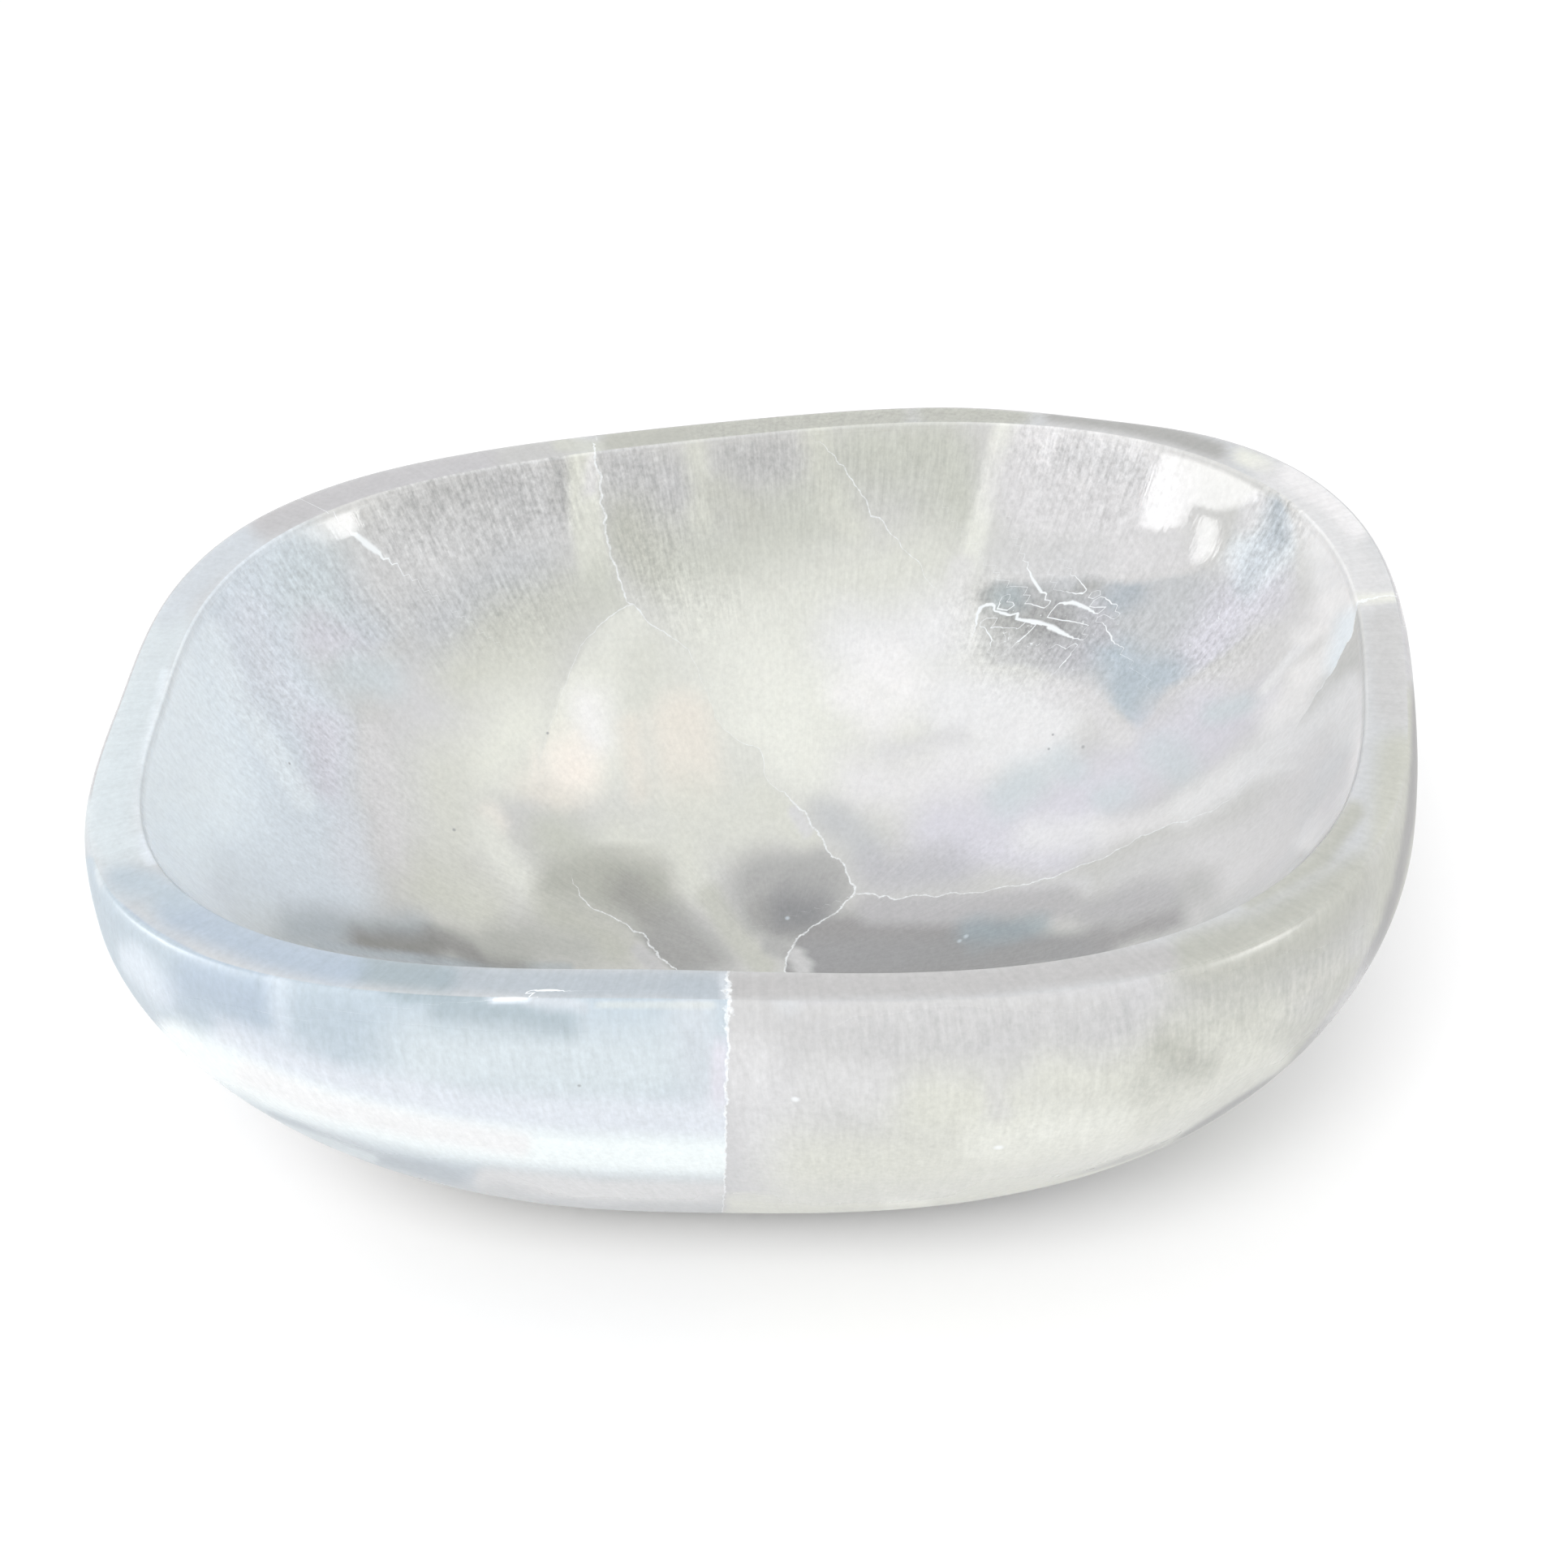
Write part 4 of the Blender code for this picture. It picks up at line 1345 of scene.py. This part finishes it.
FRACTURES = (
    Fracture(
        "seam",
        (
            Leg(
                Side.OUTSIDE,
                (
                    (890, 1494, 0.05), (893, 1465, 0.10), (894, 1400, 0.12), (896, 1300, 0.16),
                    (898, 1245, 0.30),
                ),
                reach=0.004,
            ),
            Leg(Side.RIM, ((899, 1215, 0.35), (897, 1200, 0.25)), reach=0.004),
            Leg(
                Side.INSIDE, ((3.4, -52.0, 0.10), (3.6, -40.0, 0.10), (3.2, -20.0, 0.10)), Eye.ABOVE, 0.004,
            ),
            Leg(
                Side.INSIDE,
                (
                    (966, 1192, 0.14), (975, 1172, 0.12), (985, 1150, 0.16), (1003, 1142, 0.10),
                    (1030, 1124, 0.12), (1055, 1101, 0.16), (1040, 1066, 0.12), (1020, 1045, 0.12),
                    (1005, 1022, 0.16), (996, 1006, 0.14), (975, 985, 0.10), (960, 974, 0.03),
                    (945, 960, 0.03), (935, 925, 0.05), (890, 900, 0.02), (868, 850, 0.01),
                    (850, 800, 0.04), (800, 765, 0.08), (775, 742, 0.10), (764, 715, 0.12),
                    (755, 690, 0.12), (745, 640, 0.14), (738, 590, 0.16), (735, 571, 0.16),
                ),
            ),
            Leg(Side.RIM, ((733, 548, 0.10),)),
        ),
    ),
    Fracture(
        "shelf crack",
        (
            Leg(
                Side.INSIDE,
                (
                    (1055, 1101, 0.14), (1100, 1106, 0.10), (1200, 1101, 0.08), (1300, 1080, 0.08),
                    (1370, 1050, 0.08), (1416, 1026, 0.09), (1500, 998, 0.06), (1580, 920, 0.03),
                    (1640, 830, 0.06), (1668, 775, 0.12),
                ),
            ),
            Leg(Side.RIM, ((1690, 738, 0.20), (1715, 733, 0.20))),
        ),
    ),
    *(
        Fracture(name, (Leg(Side.INSIDE, points),))
        for name, points in (
            (
                "arch",
                (
                    (672, 935, 0.01), (675, 900, 0.02), (690, 860, 0.02), (705, 820, 0.03),
                    (720, 790, 0.03), (750, 760, 0.06), (775, 743, 0.08),
                ),
            ),
            (
                "front left crack",
                (
                    (700, 1075, 0.01), (722, 1112, 0.08), (760, 1135, 0.09), (790, 1150, 0.10),
                    (806, 1172, 0.16), (832, 1194, 0.12),
                ),
            ),
            (
                "thin back vein",
                (
                    (1012, 545, 0.03), (1040, 575, 0.08), (1058, 605, 0.07), (1075, 635, 0.09),
                    (1100, 660, 0.07), (1130, 692, 0.05), (1150, 720, 0.02),
                ),
            ),
        )
    ),
    Fracture(
        "scratches",
        tuple(
            Leg(side, points, reach=0.002)
            for side, points in (
                (Side.INSIDE, ((1252, 763, 0.16), (1280, 767, 0.36), (1300, 775, 0.44), (1318, 784, 0.20))),
                (Side.INSIDE, ((1250, 747, 0.08), (1256, 758, 0.15), (1262, 765, 0.12))),
                (Side.INSIDE, ((1202, 768, 0.12), (1205, 752, 0.22), (1212, 745, 0.26), (1226, 744, 0.18))),
                (Side.INSIDE, ((1226, 753, 0.14), (1236, 756, 0.24), (1245, 757, 0.16))),
                (Side.INSIDE, ((1268, 703, 0.10), (1273, 715, 0.22), (1282, 728, 0.24))),
                (Side.INSIDE, ((1308, 745, 0.16), (1322, 742, 0.32), (1344, 751, 0.22))),
                (Side.INSIDE, ((1326, 711, 0.05), (1338, 725, 0.10))),
                (Side.INSIDE, ((1359, 735, 0.06), (1368, 742, 0.12))),
                (Side.INSIDE, ((1362, 775, 0.08), (1370, 785, 0.14))),
                (Side.INSIDE, ((1214, 775, 0.06), (1221, 785, 0.12), (1220, 792, 0.05))),
                (Side.INSIDE, ((1250, 794, 0.04), (1262, 784, 0.12), (1272, 776, 0.04))),
                (Side.INSIDE, ((1305, 822, 0.05), (1315, 812, 0.12))),
                # The last four legs are painted light: painted glints on the left wall and the left rim,
                # and painted highlight dashes on the front's outer edge and rim.
                (Side.INSIDE, ((439, 659, 0.35), (453, 671, 0.50), (467, 682, 0.35))),
                (Side.RIM, ((296, 695, 0.35), (322, 681, 0.35))),
                (Side.OUTSIDE, ((606, 1232, 0.10), (620, 1231, 0.25), (648, 1230, 0.15))),
                (Side.RIM, ((658, 1221, 0.10), (675, 1220, 0.18), (692, 1220, 0.08))),
            )
        ),
        apart=True,
    ),
)


FLAWS = (
    Flaw("pit by the glow", Tone.PIT, (-34.8, 29.0, 28.9), 0.20),
    Flaw("pit on the left wall", Tone.PIT, (-64.3, 4.8, 42.3), 0.20),
    Flaw("pit in the left front", Tone.PIT, (-13.6, -64.0, 50.3), 0.20),
    Flaw("pit on the pale floor", Tone.PIT, (37.5, 28.2, 28.1), 0.18),
    Flaw("pit below it", Tone.PIT, (36.9, 26.5, 26.9), 0.20),
    Flaw("pit to the right", Tone.PIT, (41.6, 24.8, 28.5), 0.26),
    Flaw("pit on the slope", Tone.PIT, (-45.8, 11.6, 25.2), 0.24),
    Flaw("chip in the dark", Tone.CHIP, (25.5, 0.2, 15.2), 0.36),
    Flaw("chip beside it", Tone.CHIP, (24.6, -0.4, 14.9), 0.34),
    Flaw("chip by the crack", Tone.CHIP, (0.3, 8.2, 11.6), 0.30),
    Flaw("front fleck", Tone.GLINT, (9.7, -64.2, 48.6), 0.40),
    Flaw("low fleck", Tone.GLINT, (31.1, -60.8, 37.8), 0.50),
)


@dataclass
class Veining:
    """Paints the marks and fractures on the points of the finished skin."""

    bowl: bpy.types.Object
    view: Viewpoint
    wall: float = 0.009
    drift: float = 15.0
    drift_spacing: float = 0.014
    drift_seed: int = 4
    kink: float = 2.8
    kink_seed: int = 5
    octaves: int = 5
    pace: float = 9.0
    pace_above: float = 1.5
    edge_fade: float = 0.05
    too_short: float = 1e-7
    turned: float = 0.06
    points: np.ndarray = field(init=False, repr=False)
    normals: np.ndarray = field(init=False, repr=False)
    sides: np.ndarray = field(init=False, repr=False)
    inward: np.ndarray = field(init=False, repr=False)
    own: np.ndarray = field(init=False, repr=False)
    behind: np.ndarray = field(init=False, repr=False)

    def paint(self) -> None:
        """Store every attribute that the stone's material reads."""
        mesh = self.bowl.data
        count = len(mesh.vertices)
        self.points = self.read(mesh.vertices, "co", count)
        self.normals = self.read(mesh.vertex_normals, "vector", count)
        zones = np.empty(count)
        mesh.attributes["zone"].data.foreach_get("value", zones)
        hollow = zones > Zone.HOLLOW.value - HALF_STEP
        edge = (zones > Zone.EDGE.value - HALF_STEP) & ~hollow
        hollow |= edge & (self.points[:, 1] > 0)
        rim = (zones > Zone.FALL.value - HALF_STEP) & ~hollow
        self.sides = np.full(count, Side.OUTSIDE.value)
        self.sides[rim] = Side.RIM.value
        self.sides[hollow] = Side.INSIDE.value
        self.inward = hollow.astype(float)
        self.inward[edge] = np.clip(self.points[edge, 1] / self.edge_fade + 0.5, 0, 1)
        self.own = self.wandered(self.points)
        self.behind = self.wandered(self.points - self.normals * self.wall)
        for block in Block:
            self.store(mesh, block.value, "FLOAT_COLOR", "color", self.tints(block))
        depths = np.stack([facet.depth(self.own) for facet in FACETS], axis=1)
        depths[~hollow] = -DEEPEST
        self.store(mesh, "facets", "FLOAT_VECTOR", "vector", depths)
        grain = self.grain(self.own)
        grain[edge, 3] = 1.0
        self.store(mesh, "grain", "FLOAT_COLOR", "color", grain)
        sheets = [self.sheet(fracture) for fracture in FRACTURES]
        while len(sheets) % 3:
            sheets.append(np.full(count, NO_FRACTURE))
        for first in range(0, len(sheets), 3):
            values = np.stack(sheets[first : first + 3], axis=1)
            name = f"sheets_{first // 3}"
            self.store(mesh, name, "FLOAT_VECTOR", "vector", values)

    @staticmethod
    def read(source: object, name: str, count: int) -> np.ndarray:
        """Read a vector of each point, as rows."""
        values = np.empty(count * 3)
        source.foreach_get(name, values)
        return values.reshape(-1, 3)

    @staticmethod
    def store(mesh: bpy.types.Mesh, name: str, kind: str, key: str, values: np.ndarray) -> None:
        """Write one attribute of the points.

        Args:
            mesh: the mesh that gets it.
            name: its name.
            kind: Blender's name for its type.
            key: the property that holds its values.
            values: one row for each point.
        """
        if kind == "FLOAT_COLOR" and values.shape[1] == 3:
            values = np.concatenate([values, np.ones((len(values), 1))], axis=1)
        made = mesh.attributes.new(name, kind, "POINT")
        made.data.foreach_set(key, values.astype(np.float32).ravel())

    def wandered(self, places: np.ndarray) -> np.ndarray:
        """Pixels of the places, and those pixels with the drift of clouds in them."""
        steady = self.view.pixels(places)
        noise.seed_set(self.drift_seed)
        drift = [
            noise.turbulence_vector(Vector(place) / self.drift_spacing, self.octaves, False)
            for place in places
        ]
        return np.concatenate([steady, steady + self.drift * np.array(drift)[:, :2]], axis=1)

    def grain(self, pixels: np.ndarray) -> np.ndarray:
        """Strength of each pattern of the stone at each point.

        Args:
            pixels: where each point shows in the photograph.

        Returns:
            One row of fibre, speckle, fleck and dullness for each point.
        """
        strengths = np.zeros((len(pixels), 4))
        for side, marks in GRAIN_MARKS.items():
            rows = self.sides == side.value
            strengths[rows] = self.layered(marks, pixels[rows], None)
        return strengths

    def tints(self, block: Block) -> np.ndarray:
        """Colour of one crystal at each point, as if it filled the whole bowl.

        Args:
            block: the crystal.

        Returns:
            One row of linear red, green and blue for each point.
        """
        to_eye = self.view.eye() - self.points
        facing = np.sum(self.normals * to_eye, axis=1) / np.linalg.norm(to_eye, axis=1)
        inside = self.layered(INSIDE_MARKS, self.own, block)
        through = self.layered(INSIDE_MARKS, self.behind, block)
        rim = self.layered(RIM_MARKS, self.own, block)
        outside = self.layered(OUTSIDE_MARKS, self.own, block)
        front = np.clip((facing + self.turned) / (2 * self.turned), 0, 1)[:, None]
        outside = through + (outside - through) * front
        within = rim + (inside - rim) * self.inward[:, None]
        return np.where(self.sides[:, None] == Side.OUTSIDE.value, outside, within)

    @staticmethod
    def layered(marks: tuple, pixels: np.ndarray, block: Block | None) -> np.ndarray:
        """Lay marks over each other.

        Args:
            marks: the marks, the lowest first.
            pixels: the steady and the drifting pixel of each place.
            block: the part of the stone that is painted, or None for all of it.

        Returns:
            One row of levels for each place.
        """
        levels = np.tile(marks[0].tone.levels(), (len(pixels), 1))
        for mark in marks[1:]:
            if block is None or block in mark.blocks:
                LOG.debug("painting %s", mark.name)
                cover = mark.cover(pixels)[:, None]
                levels = levels + (mark.tone.levels() - levels) * cover
        return levels

    def drop(self, fracture: Fracture) -> tuple[np.ndarray, np.ndarray, np.ndarray]:
        """Lay a fracture's line on the stone.

        Args:
            fracture: the fracture.

        Returns:
            The points of its line, the stone's normals there, and at each the line's
            half width, the sheet's reach and the number of the leg.
        """
        spots, normals, measures = [], [], []
        kinks = np.random.default_rng(self.kink_seed)
        for leg_number, leg in enumerate(fracture.legs):
            tree = self.side_tree(leg.side)
            pace = self.pace_above if leg.eye is Eye.ABOVE else self.pace
            for x, y, width in self.fine(leg.points, pace):
                if leg.eye is Eye.ABOVE:
                    start = Vector((x * MILLIMETRE, y * MILLIMETRE, DROP_HEIGHT))
                    aim = Vector((0.0, 0.0, -1.0))
                else:
                    if leg.side is Side.INSIDE and not fracture.apart:
                        x, y = (x, y) + kinks.uniform(-self.kink, self.kink, 2)
                    start, aim = self.view.ray(x, y)
                spot, normal = tree.ray_cast(start, aim)[:2]
                if spot is None:
                    LOG.warning("%s misses the stone at %d, %d", fracture.name, x, y)
                    continue
                spots.append(spot)
                normals.append(normal)
                measures.append((width * MILLIMETRE, leg.reach, leg_number))
        return np.array(spots), np.array(normals), np.array(measures)

    @staticmethod
    def fine(points: tuple, pace: float) -> list[np.ndarray]:
        """Points set no farther apart than the pace along a line of points."""
        line = np.array(points, dtype=float)
        made = [line[0]]
        for start, end in zip(line, line[1:]):
            pieces = max(1, math.ceil(np.linalg.norm((end - start)[:2]) / pace))
            made += [start + (end - start) * share / pieces for share in range(1, pieces + 1)]
        return made

    def side_tree(self, side: Side) -> BVHTree:
        """Search tree of the faces on one side of the skin."""
        mesh = self.bowl.data
        corners = [tuple(face.vertices) for face in mesh.polygons]
        kept = [face for face in corners if self.sides[face[0]] == side.value]
        return BVHTree.FromPolygons([tuple(point) for point in self.points], kept)

    def sheet(self, fracture: Fracture) -> np.ndarray:
        """How far each point is from a fracture's sheet, in half widths of its line.

        Args:
            fracture: the fracture.

        Returns:
            The distances, above 0 to the left of the line and below 0 to its right.
        """
        line, normals, measures = self.drop(fracture)
        nearest = np.full(len(self.points), FAR)
        signed = np.zeros(len(self.points))
        for place in range(len(line) - 1):
            along = line[place + 1] - line[place]
            length = np.linalg.norm(along)
            jump = fracture.apart and measures[place, 2] != measures[place + 1, 2]
            if length < self.too_short or jump:
                continue
            along = along / length
            up = normals[place] - along * (normals[place] @ along)
            up = up / np.linalg.norm(up)
            aside = np.cross(up, along)
            offset = self.points - line[place]
            share = np.clip(offset @ along / length, 0, 1)
            past = offset @ along - share * length
            deep = np.maximum(abs(offset @ up) - measures[place, 1], 0)
            left = offset @ aside
            distance = np.sqrt(left**2 + past**2 + deep**2)
            width = measures[place, 0] + np.diff(measures[place : place + 2, 0]) * share
            better = distance < nearest
            nearest = np.where(better, distance, nearest)
            value = np.sign(left) * distance / width
            signed = np.where(better, value, signed)
        return signed


@dataclass(frozen=True)
class StoneFinish:
    """Silky, polished satin spar: milky, lit from within, with fibres that stand up."""

    ior: float = 1.52
    glow: float = 0.35
    glow_reach: tuple = (0.008, 0.0075, 0.007)
    fibres_around: float = 110.0
    fibres_up: float = 240.0
    speckle: tuple = (1500.0, 1500.0, 1100.0)
    clouds: tuple = (520.0, 520.0, 400.0)
    roughness: float = 0.045
    dull_roughness: float = 0.42
    fibre_roughness: float = 0.04
    contrast: float = 2.0
    cloud_shade: float = 0.10
    cloud_kink: float = 8.0
    fleck_kink: float = 4.0
    scratch_kink: float = 0.12
    thread_bend: float = 6.0
    thread_gap: float = 0.87
    thread_width: float = 0.06
    fleck_fade: float = 0.08
    fleck_white: float = 0.85
    line_breaks: float = 1.8
    line_white: float = 0.6
    patch_edge: float = 0.5
    patch_kink: float = 0.6
    bump_strength: float = 0.08
    bump_depth: float = 0.0002
    line_faded: float = 1.5
    line_full: float = 0.5
    noise_detail: float = 3.0
    noise_roughness: float = 0.65

    def build(self) -> bpy.types.Material:
        """Make the stone's material."""
        material = bpy.data.materials.new("selenite")
        material.use_nodes = True
        bench = Bench(material.node_tree)
        bench.tree.nodes.clear()
        spot = bench.number("ShaderNodeTexCoord", {}, {}, "Object")
        speck, fleck, _ = self.noise(bench, bench.vector("MULTIPLY", spot, self.speckle))
        cloud, bend, gap = self.noise(bench, bench.vector("MULTIPLY", spot, self.clouds))
        around = bench.vector("MULTIPLY", spot, (1.0, 1.0, 0.0))
        around = bench.number("ShaderNodeVectorMath", {"operation": "NORMALIZE"}, {0: around})
        up = bench.vector("MULTIPLY", spot, (0.0, 0.0, self.fibres_up))
        lie = bench.vector("ADD", bench.scale(around, self.fibres_around), up)
        fibre = self.noise(bench, lie)[0]
        cloudy, flecked, spotted = (part - NOISE_MIDDLE for part in (cloud, fleck, speck))
        ragged = cloudy * self.cloud_kink + flecked * self.fleck_kink
        healed = len(FRACTURES) - 1
        sheets = self.parts(bench, [f"sheets_{place}" for place in range(math.ceil(len(FRACTURES) / 3))])
        # The last fracture's thin white lines are partly real, partly painted light: besides fine lines in
        # the stone, they draw painted glints and painted highlight dashes.
        scored_or_painted_glint = self.line(sheets[healed] + ragged * self.scratch_kink)
        sheets = [sheet + ragged for sheet in sheets[:healed]]
        strength = self.parts(bench, ["grain"])
        dull = bench.number("ShaderNodeAttribute", {"attribute_name": "grain"}, {}, "Alpha")
        fibrous = fibre - NOISE_MIDDLE
        streak = (
            1
            + fibrous * strength[0] * self.contrast
            + spotted * strength[1] * self.contrast
            + cloudy * self.cloud_shade
        )
        coloured = bench.scale(self.tint(bench, sheets, cloudy * self.contrast), streak)
        thread = abs(bend - NOISE_MIDDLE) * self.thread_bend + gap * self.thread_gap - self.thread_width
        white = (strength[2] - fleck.at_most(thread)).ease(0.0, self.fleck_fade) * self.fleck_white
        line = self.line(sheets[0])
        for sheet in sheets[1:]:
            line = line.at_least(self.line(sheet))
        white = white.at_least(line * (spotted * self.line_breaks + self.line_white).share())
        white = white.at_least(scored_or_painted_glint)
        coloured = bench.blend(white, coloured, (*Tone.GLINT.levels(), 1.0))
        for flaw in FLAWS:
            coloured = flaw.lay(bench, spot, coloured)
        bump = bench.number(
            "ShaderNodeBump", {},
            {"Strength": self.bump_strength, "Distance": self.bump_depth, "Height": fibre},
        )
        shader = bench.node(
            "ShaderNodeBsdfPrincipled", {},
            {
                "Base Color": coloured,
                "Roughness": fibrous * self.fibre_roughness + self.roughness + dull * self.dull_roughness,
                "IOR": self.ior, "Subsurface Weight": self.glow, "Subsurface Radius": self.glow_reach,
                "Subsurface Scale": 1.0, "Normal": bump,
            },
        )
        bench.node("ShaderNodeOutputMaterial", {}, {"Surface": shader.outputs[0]})
        return material

    def noise(self, bench: Bench, place: Field) -> list[Field]:
        """Three noises around 0.5 that don't depend on each other, at a scaled place."""
        made = bench.node(
            "ShaderNodeTexNoise", {},
            {
                "Vector": place, "Scale": 1.0, "Detail": self.noise_detail,
                "Roughness": self.noise_roughness,
            },
        )
        parts = bench.node("ShaderNodeSeparateColor", {}, {0: made.outputs["Color"]})
        return [Field(bench, output) for output in parts.outputs]

    @staticmethod
    def parts(bench: Bench, names: list[str]) -> list[Field]:
        """The three parts of each of the painted attributes, in order."""
        found = []
        for name in names:
            read = bench.number("ShaderNodeAttribute", {"attribute_name": name}, {}, "Vector")
            parts = bench.node("ShaderNodeSeparateXYZ", {}, {0: read})
            found += [Field(bench, output) for output in parts.outputs]
        return found

    def tint(self, bench: Bench, sheets: list[Field], jitter: Field) -> Field:
        """Colour of the stone, from the block that each point lies in.

        Args:
            bench: the material's bench.
            sheets: distance from each fracture.
            jitter: small unevenness of the facets' outlines.

        Returns:
            The colour.
        """
        tints = {
            block: bench.number("ShaderNodeAttribute", {"attribute_name": block.value}, {}, "Color")
            for block in Block
        }
        inside = {
            facet.block: (depth * self.patch_edge + jitter * self.patch_kink + 0.5).share()
            for facet, depth in zip(FACETS, self.parts(bench, ["facets"]))
        }
        back = bench.blend(inside[Block.PANE], tints[Block.BACK], tints[Block.PANE])
        left = bench.blend(inside[Block.ARCH], tints[Block.LEFT], tints[Block.ARCH])
        left = bench.blend(inside[Block.SMOKE], left, tints[Block.SMOKE])
        right = bench.blend((sheets[1] + 0.5).share(), tints[Block.FRONT], back)
        return bench.blend((sheets[0] + 0.5).share(), right, left)

    def line(self, distance: Field) -> Field:
        """Bright line of a fracture, 1 in its middle."""
        return abs(distance).ease(self.line_faded, self.line_full)


@dataclass(frozen=True)
class Card:
    """A flat glowing panel of the studio, by its corners as seen from the bowl.

    Each corner is its turn from the front towards the right and its lift, in degrees.
    """

    name: str
    corners: tuple
    radiance: float
    distance: float = 1.0
    in_gloss: bool = True
    in_light: bool = False
    aim_height: ClassVar[float] = 0.05

    def build(self) -> None:
        """Make the panel, facing the bowl."""
        rays = [Vector(heading(*np.radians(corner))) for corner in self.corners]
        away = sum(rays, Vector()).normalized()
        middle = Vector((0.0, 0.0, self.aim_height))
        places = [middle + ray * self.distance / ray.dot(away) for ray in rays]
        material = bpy.data.materials.new(self.name)
        material.use_nodes = True
        bench = Bench(material.node_tree)
        bench.tree.nodes.clear()
        glow = bench.node("ShaderNodeEmission", {}, {"Strength": self.radiance})
        bench.node("ShaderNodeOutputMaterial", {}, {"Surface": glow.outputs[0]})
        panel = flat_piece(self.name, places, material)
        panel.visible_camera = False
        panel.visible_shadow = False
        panel.visible_glossy = self.in_gloss
        panel.visible_diffuse = self.in_light
        panel.visible_transmission = self.in_light
        panel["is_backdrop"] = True


@dataclass
class Studio:
    """Pale floor, even white surroundings and soft lamps."""

    world: float = 0.96
    floor_tone: float = 0.93
    floor_reach: float = 4.0
    cards: tuple = (
        Card(
            "left_window",
            (
                (-51.5, -2), (-54.7, 22.4), (-58.9, 28), (-65.3, 27), (-72, 24.5), (-71.5, 21.3),
                (-81.6, 19), (-89, 15), (-93, 12), (-93, -2),
            ),
            7.5,
        ),
        Card("left_window_low", ((-76.5, 21.5), (-84.4, 19.3), (-90.4, 21.3), (-84, 25.8)), 7.5),
        Card("right_window", ((49, -2), (53, 18.5), (58, 19.5), (64, 19.3), (67, -2)), 9.5),
        Card("right_window_side", ((67, -2), (64, 19.3), (70.4, 18), (76, 15.5), (77, -2)), 4.5),
        Card(
            "key", ((-24, 42), (10, 42), (13, 62), (-27, 62)), 10.0, distance=1.4, in_gloss=False,
            in_light=True,
        ),
    )

    def build(self) -> None:
        """Make the floor, the world and the lamps."""
        scene = bpy.context.scene
        scene.view_settings.view_transform = "Standard"
        world = bpy.data.worlds.new("studio")
        world.use_nodes = True
        sky = world.node_tree.nodes["Background"]
        sky.inputs["Color"].default_value = (1.0, 1.0, 1.0, 1.0)
        sky.inputs["Strength"].default_value = self.world
        scene.world = world
        for card in self.cards:
            card.build()
        material = bpy.data.materials.new("floor")
        material.use_nodes = True
        shader = material.node_tree.nodes["Principled BSDF"]
        shader.inputs["Base Color"].default_value = (*[self.floor_tone] * 3, 1.0)
        shader.inputs["Roughness"].default_value = 1.0
        shader.inputs["Specular IOR Level"].default_value = 0.0
        reach = self.floor_reach
        corners = [(-reach, -reach, 0), (reach, -reach, 0), (reach, reach, 0), (-reach, reach, 0)]
        floor = flat_piece("floor", corners, material)
        floor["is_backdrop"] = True


def main() -> None:
    """Build the studio, the camera and the bowl, and tie the bowl to its frame."""
    logging.basicConfig(level=logging.INFO, format="%(name)s: %(message)s")
    view = Viewpoint()
    view.build()
    LOG.info("camera placed")
    Studio().build()
    LOG.info("studio lit")
    skin = BowlSkin()
    bowl = skin.build(StoneFinish().build())
    Veining(bowl, view).paint()
    LOG.info("bowl laid with %d points and %d faces", len(bowl.data.vertices), len(bowl.data.polygons))
    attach(bowl, "root")
    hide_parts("bowl")
    boxes = {"cad": CAD_BOX, "visual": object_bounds()}
    plain = {name: [list(corner) for corner in box] for name, box in boxes.items()}


if __name__ == "__main__":
    main()
